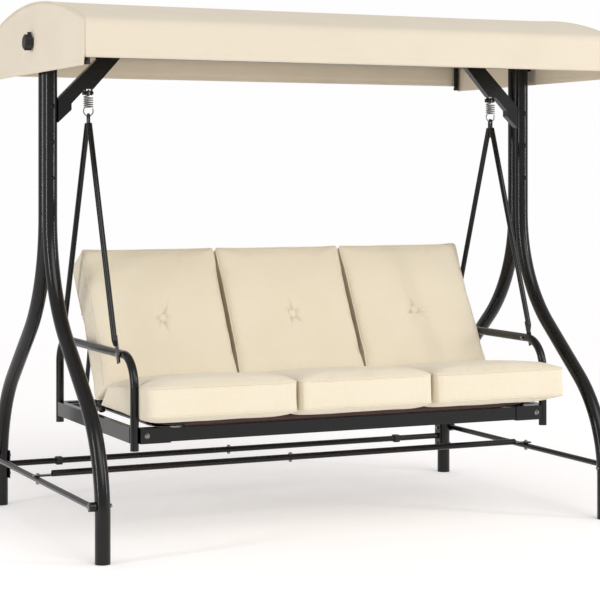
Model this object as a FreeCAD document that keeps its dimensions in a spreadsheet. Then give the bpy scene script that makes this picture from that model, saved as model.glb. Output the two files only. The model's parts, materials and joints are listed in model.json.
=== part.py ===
import FreeCAD, Part
import math
import os
import Sketcher

# Three-seat garden swing with a canopy, a backrest that folds flat and a tilting roof.
# X runs along the bench, -Y is the front, Z is up and the feet stand on Z = 0.
# Every size below is in millimetres, or in degrees where the name says angle.

DIMENSIONS = [
    # ground frame
    ("leg_plane", 920.0), ("tube_dia", 49.0), ("tube_wall", 1.5), ("foot_reach", 578.5),
    ("foot_rise", 139.4), ("lower_bend", 454.0), ("upper_bend", 525.0), ("lean_angle", 50.0),
    ("post_offset", 24.7), ("leg_top", 1350.0), ("post_top", 1675.0), ("spigot_drop", 200.0),
    ("spigot_radius", 22.6), ("post_bore", 21.0), ("foot_cap_rise", 3.0), ("foot_plug", 25.0),
    # beam and braces
    ("beam_height", 50.0), ("beam_depth", 30.0), ("beam_base", 1600.0), ("section_wall", 2.0),
    ("brace_toe", 1378.7), ("brace_heel", 1458.0), ("brace_step_in", 848.6),
    ("brace_step_low", 1422.0), ("brace_step_high", 1443.3), ("tab_outer", 800.0),
    ("tab_inner", 771.5), ("tab_level", 1493.5), ("brace_end_outer", 754.7),
    ("brace_end_inner", 675.9),
    # spring, hooks and hanger pins
    ("hang_side", 785.0), ("swing_height", 1480.0), ("pin_dia", 10.0), ("pin_length", 34.0),
    ("ear_gap", 20.0), ("ear_thick", 3.0), ("ear_width", 16.0),
    ("bush_dia", 15.0), ("bush_length", 17.0), ("wire_dia", 4.5), ("coil_dia", 35.0),
    ("coil_base", 1430.0), ("coil_rise", 37.0), ("coil_turns", 6.0), ("top_eye_radius", 10.0),
    ("hook_radius", 17.0), ("hook_foot", 1402.0),
    # hanging rods
    ("rod_dia", 19.0), ("rod_wall", 1.5), ("rod_plug", 45.0), ("rod_taper", 16.0),
    ("rod_neck", 5.0), ("fit_gap", 0.4), ("link_thick", 5.0), ("link_width", 26.0),
    ("link_base", 1342.0),
    ("link_hole", 12.0), ("link_eye", 1398.8), ("rod_top", 1376.0), ("rod_spread", 10.5),
    ("rod_front", -313.0), ("rod_rear", 263.6), ("rod_end", 662.0), ("rod_tab_width", 22.0),
    ("rod_tab_low", 592.0),
    # armrests and seat rails
    ("arm_plane", 762.6), ("arm_dia", 28.0), ("arm_wall", 1.5), ("arm_front", -427.7),
    ("arm_rear", 367.6), ("arm_foot", 321.0), ("arm_height", 619.0), ("arm_front_bend", 100.0),
    ("arm_rear_bend", 85.0), ("side_rail_width", 25.0), ("rail_base", 343.0),
    ("rail_top", 392.0), ("front_rail_depth", 30.0), ("front_rail_base", 345.0),
    ("front_rail_top", 389.0), ("sleeve_inner_end", 644.4), ("sleeve_outer_end", 748.2),
    ("sleeve_grow", 3.0), ("rear_rail_wall", 2.8), ("front_rail_wall", 1.5),
    ("rear_rail_base", 351.0), ("rear_rail_top", 391.0),
    # seat frame and slings
    ("seat_tube_dia", 24.0), ("seat_tube_wall", 1.5), ("seat_tube_side", 698.0),
    ("seat_tube_front", -434.0), ("seat_tube_level", 404.5), ("seat_tube_bend", 55.0),
    ("seat_tube_rear", 25.5), ("sling_thick", 2.0), ("sling_half", 600.0), ("seat_bar", -14.0),
    # backrest and prop
    ("hinge_depth", 13.5), ("recline_angle", 28.5), ("back_tube_dia", 22.0),
    ("back_tube_wall", 1.5), ("back_tube_side", 724.0), ("back_tube_top", 505.0),
    ("back_tube_bend", 60.0), ("back_tube_tail", 11.0), ("back_bar", 70.0),
    ("prop_side", 700.0), ("prop_dia", 16.0), ("prop_wall", 2.5), ("prop_pivot", 353.3),
    ("prop_length", 347.2), ("prop_bend", 30.0), ("prop_angle", 15.86), ("prop_tail", 7.0),
    # cushions
    ("cushion_half", 742.0), ("cushion_gap", 2.0), ("seat_front", -600.0),
    ("seat_front_low", 437.3), ("seat_front_high", 540.0), ("seat_crown", 542.0),
    ("seat_crown_depth", -250.0), ("seat_rear_low", 420.0), ("seat_rest", -446.0), ("back_low", 12.0),
    ("back_high", 556.0), ("back_rear", 15.0), ("back_front", 117.0), ("fold_gap", 1.5),
    ("cushion_skin", 6.0), ("seat_rear_gap", 10.5), ("seat_front_lean", 12.0),
    ("seat_fold_height", 37.0), ("button_dia", 30.0), ("button_depth", 6.0), ("button_height", 275.0),
    # stretchers
    ("side_bar_plane", 955.0), ("side_bar_dia", 20.0), ("side_bar_height", 178.5),
    ("eye_dia", 30.0), ("eye_width", 20.0), ("bar_wall", 1.5), ("middle_bar_dia", 22.0),
    ("middle_bar_height", 196.0), ("middle_bar_end", 905.0), ("paddle_thick", 5.0),
    ("paddle_width", 26.0), ("rear_bar_dia", 22.0), ("rear_bar_height", 147.0),
    ("joint_overlap", 60.0), ("joint_bolt", -23.0), ("flange_thick", 4.0),
    ("flange_width", 40.0), ("flange_low", 97.0), ("flange_high", 197.0),
    ("lower_flange_bolt", 113.0), ("clamp_place", 702.0), ("clamp_length", 22.0),
    ("clamp_height", 28.0),
    # bolts
    ("bolt_dia", 8.0), ("hole_dia", 8.4), ("bolt_head", 14.0), ("head_rise", 5.0),
    # canopy
    ("canopy_half", 974.7), ("canopy_reach", 558.5), ("canopy_crown", 1780.0),
    ("canopy_eave", 1686.0), ("end_hem", 1542.0), ("front_hem", 1566.5), ("rear_hem", 1562.0),
    ("cover_thick", 4.0), ("cover_corner", 30.0), ("arch_plane", 959.5), ("arch_dia", 18.0),
    ("arch_wall", 1.5), ("arch_reach", 544.5), ("arch_foot", 1557.0), ("arch_crown", 1765.0),
    ("arch_bend", 30.0), ("arch_slope_angle", 19.1), ("arch_link", 12.0),
    ("canopy_rail_height", 1650.0), ("cap_dia", 21.0), ("cap_rise", 12.0),
    ("pivot_height", 1647.0), ("end_bar_height", 30.0), ("end_bar_thick", 4.0),
    ("end_bar_reach", 527.0), ("pivot_plate_low", 1592.0), ("pivot_plate_width", 90.0),
    ("knob_dia", 44.0), ("knob_thick", 27.0), ("knob_face", 976.2), ("knob_lobe", 7.0), ("wing_half", 3.5),
    ("wing_length", 12.0), ("wing_tip", 35.0),
    ("running_clearance", 0.05), ("slack", 0.3),
]

SIDES = (("left", -1), ("right", 1))
ENDS = (("front", -1), ("rear", 1))

doc = FreeCAD.newDocument("CanopySwing")
sheet = doc.addObject("Spreadsheet::Sheet", "dims")
for row, (alias, number) in enumerate(DIMENSIONS, start=1):
    sheet.set("A%d" % row, alias)
    sheet.set("B%d" % row, str(number))
    sheet.setAlias("B%d" % row, alias)
doc.recompute()


class Size:
    """A number together with the sheet formula that gives it."""

    def __init__(self, number, formula):
        self.number = float(number)
        self.formula = formula

    def _join(self, other, sign, number, swap=False):
        other_text = other.formula if isinstance(other, Size) else "(%r)" % float(other)
        first, second = (other_text, self.formula) if swap else (self.formula, other_text)
        return Size(number, "(%s %s %s)" % (first, sign, second))

    def __add__(self, other):
        return self._join(other, "+", self.number + plain(other))

    def __radd__(self, other):
        return self._join(other, "+", plain(other) + self.number, swap=True)

    def __sub__(self, other):
        return self._join(other, "-", self.number - plain(other))

    def __rsub__(self, other):
        return self._join(other, "-", plain(other) - self.number, swap=True)

    def __mul__(self, other):
        return self._join(other, "*", self.number * plain(other))

    def __rmul__(self, other):
        return self._join(other, "*", plain(other) * self.number, swap=True)

    def __truediv__(self, other):
        return self._join(other, "/", self.number / plain(other))


def plain(value):
    return value.number if isinstance(value, Size) else float(value)


def sine(angle):
    return Size(math.sin(math.radians(angle.number)), "sin(%s * 1 deg)" % angle.formula)


def cosine(angle):
    return Size(math.cos(math.radians(angle.number)), "cos(%s * 1 deg)" % angle.formula)


def size(alias):
    return Size(sheet.get(alias), "dims." + alias)


def sized(value):
    return value if isinstance(value, Size) else Size(value, "(%r)" % float(value))


def bind(item, name, value):
    item.setExpression(name, sized(value).formula)


def place(item, x, y, z, rotation=None):
    item.Placement = FreeCAD.Placement(FreeCAD.Vector(), rotation or FreeCAD.Rotation())
    for axis, value in zip("xyz", (x, y, z)):
        bind(item, "Placement.Base." + axis, value)
    return item


RIGHT_OF = {
    "X": FreeCAD.Rotation(FreeCAD.Vector(0, 0, 1), FreeCAD.Vector(1, 0, 0)),
    "Y": FreeCAD.Rotation(FreeCAD.Vector(0, 0, 1), FreeCAD.Vector(0, 1, 0)),
    "Z": FreeCAD.Rotation(),
}


def box(name, low, high):
    """A block between two corners."""
    item = doc.addObject("Part::Box", name)
    for prop, a, b in zip(("Length", "Width", "Height"), low, high):
        bind(item, prop, sized(b) - sized(a))
    return place(item, *low)


def cylinder(name, axis, start, length, radius):
    """A round bar from a point along one axis."""
    item = doc.addObject("Part::Cylinder", name)
    bind(item, "Height", length)
    bind(item, "Radius", radius)
    return place(item, start[0], start[1], start[2], RIGHT_OF[axis])


def cut(name, base, *tools):
    item = doc.addObject("Part::Cut", name)
    item.Base = base
    item.Tool = tools[0] if len(tools) == 1 else fuse(name + "_tools", *tools)
    return item


def fuse(name, *parts):
    item = doc.addObject("Part::MultiFuse", name)
    item.Shapes = list(parts)
    return item


def group(name, *parts):
    """Separate solids of identical pieces, kept in one node."""
    item = doc.addObject("Part::Compound", name)
    item.Links = list(parts)
    return item


def pipe(name, axis, start, length, radius, wall):
    """A straight round tube."""
    outer = cylinder(name + "_outer", axis, start, length, radius)
    inner = cylinder(name + "_inner", axis, start, length, sized(radius) - wall)
    return cut(name, outer, inner)


def box_tube(name, low, high, wall):
    """A rectangular tube that runs along its longest side, open at both ends."""
    spans = [plain(b) - plain(a) for a, b in zip(low, high)]
    along = spans.index(max(spans))
    inner_low = [a if i == along else sized(a) + wall for i, a in enumerate(low)]
    inner_high = [b if i == along else sized(b) - wall for i, b in enumerate(high)]
    return cut(name, box(name + "_outer", low, high), box(name + "_inner", inner_low, inner_high))


def origin_plane(body, role):
    return next(item for item in body.Origin.OriginFeatures if item.Role == role)


def new_sketch(body, name, role):
    sketch = body.newObject("Sketcher::SketchObject", name)
    sketch.AttachmentSupport = [(origin_plane(body, role), "")]
    sketch.MapMode = "FlatFace"
    return sketch


def constrain(sketch, value, *terms):
    number = sized(value).number
    if terms[0] == "Angle":
        number = math.radians(number)
    index = sketch.addConstraint(Sketcher.Constraint(*terms, number))
    bind(sketch, "Constraints[%d]" % index, value)


def anchor_point(sketch, edge, end, x, y):
    constrain(sketch, x, "DistanceX", -1, 1, edge, end)
    constrain(sketch, y, "DistanceY", -1, 1, edge, end)


def draw_path(sketch, start, headings, runs, radii):
    """Straight runs joined by tangent arcs, each run with its own heading in degrees."""
    x, y = plain(start[0]), plain(start[1])
    edge = -1
    for index, (heading, run) in enumerate(zip(headings, runs)):
        turn = math.radians(plain(heading))
        if index:
            before = math.radians(plain(headings[index - 1]))
            side = 1.0 if turn > before else -1.0
            radius = plain(radii[index - 1])
            centre = (x - side * radius * math.sin(before), y + side * radius * math.cos(before))
            end = (centre[0] + side * radius * math.sin(turn), centre[1] - side * radius * math.cos(turn))
            middle = (before + turn) / 2.0
            mid = (centre[0] + side * radius * math.sin(middle),
                   centre[1] - side * radius * math.cos(middle))
            arc = Part.Arc(*(FreeCAD.Vector(u, v, 0) for u, v in ((x, y), mid, end)))
            sketch.addGeometry(arc)
            edge += 1
            arc_first, arc_last = (1, 2) if side > 0 else (2, 1)
            sketch.addConstraint(Sketcher.Constraint("Tangent", edge - 1, 2, edge, arc_first))
            constrain(sketch, radii[index - 1], "Radius", edge)
            x, y = end
        finish = (x + plain(run) * math.cos(turn), y + plain(run) * math.sin(turn))
        line = Part.LineSegment(FreeCAD.Vector(x, y, 0), FreeCAD.Vector(finish[0], finish[1], 0))
        sketch.addGeometry(line)
        edge += 1
        if index:
            sketch.addConstraint(Sketcher.Constraint("Tangent", edge - 1, arc_last, edge, 1))
        else:
            anchor_point(sketch, 0, 1, start[0], start[1])
        constrain(sketch, heading, "Angle", edge)
        constrain(sketch, run, "Distance", edge)
        x, y = finish


def bent_tube(name, plane, start, headings, runs, radii, diameter, wall):
    """A round tube swept along runs and bends; it starts square to the first run."""
    body = doc.addObject("PartDesign::Body", name)
    path = new_sketch(body, name + "_path", plane)
    draw_path(path, start, headings, runs, radii)
    ring = new_sketch(body, name + "_ring", "XY_Plane" if plane == "YZ_Plane" else "XZ_Plane")
    inner = sized(diameter) / 2 - wall
    for index, radius in enumerate((sized(diameter) / 2, inner)):
        centre = (0, start[0]) if plane == "YZ_Plane" else (start[0], 0)
        middle = FreeCAD.Vector(plain(centre[0]), plain(centre[1]), 0)
        ring.addGeometry(Part.Circle(middle, FreeCAD.Vector(0, 0, 1), plain(radius)))
        anchor_point(ring, index, 3, centre[0], centre[1])
        constrain(ring, radius, "Radius", index)
    lift = start[1]
    if plane == "YZ_Plane":
        bind(ring, "AttachmentOffset.Base.z", lift)
    else:
        bind(ring, "AttachmentOffset.Base.z", -1.0 * sized(lift))
    sweep = body.newObject("PartDesign::AdditivePipe", name + "_sweep")
    sweep.Profile = ring
    sweep.Spine = path
    body.Tip = sweep
    return body


def prism(name, outline, across, lift_axis, low, high):
    """A prism: a polygon of (u, v) corners, extruded from low to high."""
    body = doc.addObject("PartDesign::Body", name)
    sketch = new_sketch(body, name + "_outline", across)
    count = len(outline)
    for index, corner in enumerate(outline):
        after = outline[(index + 1) % count]
        first = FreeCAD.Vector(plain(corner[0]), plain(corner[1]), 0)
        second = FreeCAD.Vector(plain(after[0]), plain(after[1]), 0)
        sketch.addGeometry(Part.LineSegment(first, second))
    for index, corner in enumerate(outline):
        previous = (index - 1) % count
        sketch.addConstraint(Sketcher.Constraint("Coincident", previous, 2, index, 1))
        anchor_point(sketch, index, 1, corner[0], corner[1])
    pad = body.newObject("PartDesign::Pad", name + "_pad")
    pad.Profile = sketch
    bind(pad, "Length", sized(high) - low)
    bind(sketch, "AttachmentOffset.Base.z", lift_axis * sized(low if lift_axis > 0 else high))
    body.Tip = pad
    return body


def bolt(name, axis, head_at, grip, way):
    """A round-headed bolt with a washer under the head and a nut on the far side.

    head_at is the point under the washer, grip the clamped thickness and way +1 or -1 the
    direction in which the shank runs.
    """
    shank_radius = size("bolt_dia") / 2
    head_radius = size("bolt_head") / 2
    washer = Size(1.5, "1.5")
    nut_rise = size("head_rise") + 1.5
    index = "XYZ".index(axis)

    def along(distance):
        point = list(head_at)
        point[index] = sized(head_at[index]) + distance
        return point

    if way > 0:
        shank = cylinder(name + "_shank", axis, along(-1.0 * washer), sized(grip) + washer + nut_rise,
                         shank_radius)
        disc = cylinder(name + "_washer", axis, along(-1.0 * washer), washer, head_radius + 1.5)
        dome_base, nut_base = along(-1.0 * washer), along(grip)
    else:
        shank = cylinder(name + "_shank", axis, along(-1.0 * (sized(grip) + nut_rise)),
                         sized(grip) + washer + nut_rise, shank_radius)
        disc = cylinder(name + "_washer", axis, along(0), washer, head_radius + 1.5)
        dome_base, nut_base = along(washer), along(-1.0 * (sized(grip) + nut_rise - 1.5))
    dome = doc.addObject("Part::Cone", name + "_dome")
    bind(dome, "Radius1", head_radius)
    bind(dome, "Radius2", head_radius * 0.55)
    bind(dome, "Height", size("head_rise"))
    outward = FreeCAD.Vector(*[-way if i == index else 0 for i in range(3)])
    place(dome, *dome_base, FreeCAD.Rotation(FreeCAD.Vector(0, 0, 1), outward))
    nut = doc.addObject("Part::Prism", name + "_nut")
    nut.Polygon = 6
    bind(nut, "Circumradius", head_radius)
    bind(nut, "Height", size("head_rise"))
    place(nut, *nut_base, RIGHT_OF[axis])
    return fuse(name, shank, disc, dome, nut)


def hole(name, axis, centre, length):
    """A cutting cylinder centred on a point."""
    start = list(centre)
    index = "XYZ".index(axis)
    start[index] = sized(centre[index]) - sized(length) / 2
    return cylinder(name, axis, start, length, size("hole_dia") / 2)


nodes = []


def keep(item, label):
    item.Label = label
    nodes.append(item)
    return item


# ---------------------------------------------------------------- shared heights and offsets
tube_radius = size("tube_dia") / 2
lean = size("lean_angle")
both_bends = size("lower_bend") + size("upper_bend")
bend_shift = both_bends * (1.0 - cosine(lean))
sloping_run = (size("foot_reach") - size("post_offset") - bend_shift) / sine(lean)
bends_rise = both_bends * sine(lean) + sloping_run * cosine(lean)
upper_run = size("leg_top") - size("foot_rise") - bends_rise
hang_depth = -1.0 * size("post_offset")
post_bolt_heights = (size("leg_top") + 84.0, size("leg_top") - 37.0, size("leg_top") - 158.0)
side_bolt_depth = size("foot_reach") - 1.5


# ---------------------------------------------------------------- legs, posts, caps
def make_leg(side, sign, end, way):
    """An S-bent leg: upright foot, lean towards the middle, upright top."""
    name = "leg_%s_%s" % (end, side)
    base = bent_tube(
        name + "_tube", "YZ_Plane", (way * size("foot_reach"), size("foot_cap_rise")),
        (90.0, 90.0 + way * lean, 90.0),
        (size("foot_rise") - size("foot_cap_rise"), sloping_run, upper_run),
        (size("lower_bend"), size("upper_bend")), size("tube_dia"), size("tube_wall"))
    place(base, sign * size("leg_plane"), 0, 0)
    x = sign * size("leg_plane")
    cross = (x, way * side_bolt_depth, size("side_bar_height"))
    drills = [hole(name + "_side_hole", "X", cross, size("tube_dia") * 1.5)]
    for index, height in enumerate(post_bolt_heights[1:]):
        centre = (x, way * size("post_offset"), height)
        drills.append(hole("%s_post_hole_%d" % (name, index), "Y", centre, size("tube_dia") + 6.0))
    if end == "rear":
        low = (x, size("foot_reach"), size("lower_flange_bolt"))
        drills.append(hole(name + "_flange_hole", "X", low, size("tube_dia") * 1.5))
    keep(cut(name, base, *drills), name)


def make_posts(side, sign):
    """Two upright tubes side by side; each has a spigot that slides down inside its leg."""
    x = sign * size("leg_plane")
    tubes = []
    for end, way in ENDS:
        name = "post_%s_%s" % (end, side)
        y = way * size("post_offset")
        low = size("leg_top") - size("spigot_drop")
        sleeve = cylinder(name + "_body", "Z", (x, y, size("leg_top")),
                          size("post_top") - size("leg_top"), tube_radius)
        spigot = cylinder(name + "_spigot", "Z", (x, y, low), size("spigot_drop"), size("spigot_radius"))
        bore = cylinder(name + "_bore", "Z", (x, y, low), size("post_top") - low, size("post_bore"))
        drills = []
        for index, height in enumerate(post_bolt_heights):
            drills.append(hole("%s_hole_%d" % (name, index), "Y", (x, y, height), size("tube_dia") + 6.0))
        tubes.append(cut(name, fuse(name + "_solid", sleeve, spigot), bore, *drills))
    keep(group("posts_" + side, *tubes), "posts_" + side)


def make_foot_caps():
    """A plug in each foot with a flange that stands on the floor."""
    caps = []
    for side, sign in SIDES:
        for end, way in ENDS:
            name = "foot_cap_%s_%s" % (end, side)
            centre = (sign * size("leg_plane"), way * size("foot_reach"), 0)
            flange = cylinder(name + "_flange", "Z", centre, size("foot_cap_rise"), tube_radius)
            plug = cylinder(name + "_plug", "Z", centre, size("foot_plug"),
                            tube_radius - size("tube_wall") - 0.2)
            caps.append(fuse(name, flange, plug))
    keep(group("foot_caps", *caps), "foot_caps")


def make_post_bolts():
    """Three long bolts through each pair of tubes, with their heads at the front."""
    bolts = []
    grip = size("post_offset") * 2 + size("tube_dia")
    for side, sign in SIDES:
        for index, height in enumerate(post_bolt_heights):
            front = (sign * size("leg_plane"), hang_depth - tube_radius, height)
            bolts.append(bolt("post_bolt_%s_%d" % (side, index), "Y", front, grip, 1))
    keep(group("post_bolts", *bolts), "post_bolts")


# ---------------------------------------------------------------- beam, braces, hanger pins
def make_beam():
    half = size("leg_plane") - tube_radius - 0.3
    depth = size("beam_depth") / 2
    low = (-1.0 * half, hang_depth - depth, size("beam_base"))
    high = (half, hang_depth + depth, size("beam_base") + size("beam_height"))
    keep(box_tube("top_beam", low, high, size("section_wall")), "top_beam")


def make_brace(side, sign):
    """A sloping box section from post to beam with a flat tab and two ears for the spring."""
    name = "brace_" + side
    foot = size("leg_plane") - tube_radius - 0.3
    top = size("beam_base") - 0.2
    corners = [
        (foot, size("brace_toe")), (foot, size("brace_heel")), (size("brace_end_outer"), top),
        (size("brace_end_inner"), top), (size("tab_inner"), size("tab_level")),
        (size("tab_outer"), size("tab_level")), (size("brace_step_in"), size("brace_step_high")),
        (size("brace_step_in"), size("brace_step_low"))]
    outline = [(sign * u, v) for u, v in corners]
    depth = size("beam_depth") / 2
    body = prism(name + "_body", outline, "XZ_Plane", -1, hang_depth - depth, hang_depth + depth)
    ears = []
    pin_holes = []
    for index, way in enumerate((-1, 1)):
        near = sign * size("hang_side") + way * (size("ear_gap") / 2)
        inner = near if way > 0 else near - size("ear_thick")
        ear_low = (inner, hang_depth - size("ear_width") / 2, size("swing_height"))
        ear_high = (inner + size("ear_thick"), hang_depth + size("ear_width") / 2, size("tab_level"))
        plate = box("%s_ear_%d" % (name, index), ear_low, ear_high)
        round_end = cylinder("%s_ear_end_%d" % (name, index), "X",
                             (inner, hang_depth, size("swing_height")),
                             size("ear_thick"), size("ear_width") / 2)
        ears += [plate, round_end]
    bore_start = (sign * size("hang_side") - size("pin_length") / 2, hang_depth, size("swing_height"))
    bore = cylinder(name + "_pin_bore", "X", bore_start, size("pin_length"),
                    size("pin_dia") / 2 + size("running_clearance"))
    keep(cut(name, fuse(name + "_solid", body, *ears), bore), name)


def make_hanger_pins():
    pins = []
    for side, sign in SIDES:
        name = "hanger_pin_" + side
        start = (sign * size("hang_side") - size("pin_length") / 2, hang_depth, size("swing_height"))
        shaft = cylinder(name + "_shaft", "X", start, size("pin_length"), size("pin_dia") / 2)
        head_start = (start[0] - 3.0, hang_depth, size("swing_height"))
        head = cylinder(name + "_head", "X", head_start, 3.0, size("pin_dia") * 0.75)
        pins.append(fuse(name, shaft, head))
    keep(group("hanger_pins", *pins), "hanger_pins")


# ---------------------------------------------------------------- springs and hanging rods
def make_bushes():
    """A nylon sleeve on each hanger pin, which the spring's top eye grips."""
    bushes = []
    for side, sign in SIDES:
        start = (sign * size("hang_side") - size("bush_length") / 2, hang_depth, size("swing_height"))
        wall = size("bush_dia") / 2 - size("pin_dia") / 2 - size("running_clearance")
        bushes.append(pipe("spring_bush_" + side, "X", start, size("bush_length"), size("bush_dia") / 2,
                           wall))
    keep(group("spring_bushes", *bushes), "spring_bushes")


def spring_shape():
    """A wire spring about the Z axis: coil, top eye across Y and open bottom hook across X."""
    wire = plain(size("wire_dia")) / 2
    mean = plain(size("coil_dia")) / 2 - wire
    base = plain(size("coil_base"))
    rise = plain(size("coil_rise"))
    pitch = rise / plain(size("coil_turns"))
    helix = Part.makeHelix(pitch, rise, mean)
    helix.translate(FreeCAD.Vector(0, 0, base))
    section = Part.makeCircle(wire, FreeCAD.Vector(mean, 0, base), FreeCAD.Vector(0, 1, 0))
    coil = Part.Wire(helix).makePipeShell([Part.Wire(section)], True, True)
    eye_level = plain(size("swing_height"))
    eye = Part.makeTorus(plain(size("top_eye_radius")), wire, FreeCAD.Vector(0, 0, eye_level),
                         FreeCAD.Vector(1, 0, 0))
    neck_level = eye_level - plain(size("top_eye_radius")) - 1.0
    neck = Part.makeCylinder(wire, mean, FreeCAD.Vector(0, 0, neck_level), FreeCAD.Vector(1, 0, 0))
    riser_base = FreeCAD.Vector(mean, 0, base + rise)
    riser = Part.makeCylinder(wire, neck_level - base - rise, riser_base)
    elbow = Part.makeSphere(wire, FreeCAD.Vector(mean, 0, neck_level))
    hook_radius = plain(size("hook_radius"))
    hook_centre = FreeCAD.Vector(0, 0, plain(size("hook_foot")) + hook_radius)
    hook_angles = [math.radians(angle) for angle in (-215.0, -90.0, 30.0)]
    points = [hook_centre + FreeCAD.Vector(hook_radius * math.cos(a), 0,
                                           hook_radius * math.sin(a)) for a in hook_angles]
    arc = Part.Arc(*points).toShape()
    tangent = arc.tangentAt(arc.FirstParameter)
    hook_section = Part.makeCircle(wire, points[0], tangent)
    hook = Part.Wire(arc).makePipeShell([Part.Wire(hook_section)], True, True)
    tie = Part.makeCylinder(wire, mean + points[0].x * -1.0, FreeCAD.Vector(points[0].x, 0, base),
                            FreeCAD.Vector(1, 0, 0))
    whole = coil.fuse([eye, neck, riser, elbow, hook, tie])
    return whole.removeSplitter()


def make_springs():
    """A spring wire for each end of the bench."""
    shape = spring_shape()
    for side, sign in SIDES:
        item = doc.addObject("Part::Feature", "spring_" + side)
        item.Shape = shape.copy()
        place(item, sign * size("hang_side"), hang_depth, 0)
        keep(item, "spring_" + side)


def make_link(side, sign):
    """The plate under a spring: an eye for the hook and a foot that both rods are slotted on."""
    name = "link_" + side
    x = sign * size("hang_side") - size("link_thick") / 2
    half = size("link_width") / 2
    plate = box(name + "_plate", (x, hang_depth - half, size("link_base")),
                (x + size("link_thick"), hang_depth + half, size("link_eye")))
    top = cylinder(name + "_top", "X", (x, hang_depth, size("link_eye")), size("link_thick"), half)
    eye = cylinder(name + "_eye", "X", (x - 5.0, hang_depth, size("link_eye")), size("link_thick") + 10.0,
                   size("link_hole") / 2)
    return cut(name, fuse(name + "_solid", plate, top), eye)


def make_rods(side, sign):
    """Two rods of tube with closed ends, spread from the link plate to the front and rear of the armrest."""
    rods = []
    x = sign * size("hang_side")
    rise = size("rod_top") - size("arm_height")
    reach = size("link_width") / 2 + 0.5
    half_slot = size("link_thick") / 2 + 0.05
    tab_half = size("rod_tab_width") / 2
    for end, foot in (("front", size("rod_front")), ("rear", size("rod_rear"))):
        name = "rod_%s_%s" % (end, side)
        way = -1.0 if end == "front" else 1.0
        top_y = hang_depth + way * size("rod_spread")
        slope = math.atan2(plain(foot) - plain(top_y), plain(rise))
        rotation = FreeCAD.Rotation(FreeCAD.Vector(1, 0, 0), math.degrees(slope))

        def depth_at(level):
            """Where the rod's axis lies at a height."""
            return foot + (level - size("arm_height")) / rise * (top_y - foot)

        def length_of(part_name, kind, low_level, high_level):
            """A stretch of the rod between two heights."""
            item = doc.addObject(kind, part_name)
            bind(item, "Height", (high_level - low_level) / math.cos(slope))
            return item

        core_low = size("rod_end") + size("rod_plug")
        bar = length_of(name + "_bar", "Part::Cylinder", size("rod_end"), size("rod_top"))
        bind(bar, "Radius", size("rod_dia") / 2)
        place(bar, x, depth_at(size("rod_end")), size("rod_end"), rotation)
        neck_low = size("rod_end") - size("rod_taper")
        neck = length_of(name + "_neck", "Part::Cone", neck_low, size("rod_end"))
        bind(neck, "Radius1", size("rod_neck"))
        bind(neck, "Radius2", size("rod_dia") / 2)
        place(neck, x, depth_at(neck_low), neck_low, rotation)
        core = length_of(name + "_core", "Part::Cylinder", core_low, size("rod_top") - size("rod_plug"))
        bind(core, "Radius", size("rod_dia") / 2 - size("rod_wall"))
        place(core, x, depth_at(core_low), core_low, rotation)
        tab_inner = sign * (size("arm_plane") + size("arm_dia") / 2 + size("fit_gap"))
        tab_x = tab_inner if sign > 0 else tab_inner - size("link_thick")
        tab = length_of(name + "_tab", "Part::Box", size("rod_tab_low"), size("rod_end") + 15.0)
        bind(tab, "Length", size("link_thick"))
        bind(tab, "Width", size("rod_tab_width"))
        corner_y = depth_at(size("rod_tab_low")) - tab_half * math.cos(slope)
        place(tab, tab_x, corner_y, size("rod_tab_low") - tab_half * math.sin(slope), rotation)
        bolt_centre = (sign * size("arm_plane"), foot, size("arm_height"))
        drill = hole(name + "_hole", "X", bolt_centre, size("arm_dia") + 50.0)
        slot = box(name + "_slot", (x - half_slot, hang_depth - reach, size("link_base") - 0.5),
                   (x + half_slot, hang_depth + reach, size("link_eye")))
        tube = cut(name + "_tube", fuse(name + "_solid", bar, neck, tab), core)
        rods.append(cut(name, tube, drill, slot))
    keep(group("rods_" + side, *rods), "rods_" + side)


# ---------------------------------------------------------------- armrests and seat rails
arm_radius = size("arm_dia") / 2


def make_armrest(side, sign):
    """An upside-down U of tube with two open feet below the rails."""
    name = "armrest_" + side
    rise_front = size("arm_height") - size("arm_foot") - size("arm_front_bend")
    rise_rear = size("arm_height") - size("arm_foot") - size("arm_rear_bend")
    level = size("arm_rear") - size("arm_front") - size("arm_front_bend") - size("arm_rear_bend")
    base = bent_tube(name + "_tube", "YZ_Plane", (size("arm_front"), size("arm_foot")),
                     (90.0, 0.0, -90.0),
                     (rise_front, level, rise_rear), (size("arm_front_bend"), size("arm_rear_bend")),
                     size("arm_dia"), size("arm_wall"))
    place(base, sign * size("arm_plane"), 0, 0)
    drills = []
    for index, foot in enumerate((size("rod_front"), size("rod_rear"))):
        centre = (sign * size("arm_plane"), foot, size("arm_height"))
        drills.append(hole("%s_hole_%d" % (name, index), "X", centre, size("arm_dia") + 6.0))
    keep(cut(name, base, *drills), name)


def make_arm_plugs():
    plugs = []
    for side, sign in SIDES:
        for end, depth in (("front", size("arm_front")), ("rear", size("arm_rear"))):
            name = "arm_plug_%s_%s" % (end, side)
            low = (sign * size("arm_plane"), depth, size("arm_foot") - 2.0)
            flange = cylinder(name + "_flange", "Z", low, 1.9, arm_radius)
            stem = cylinder(name + "_stem", "Z", low, 17.0, arm_radius - size("arm_wall") - 0.2)
            plugs.append(fuse(name, flange, stem))
    keep(group("arm_plugs", *plugs), "arm_plugs")


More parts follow.
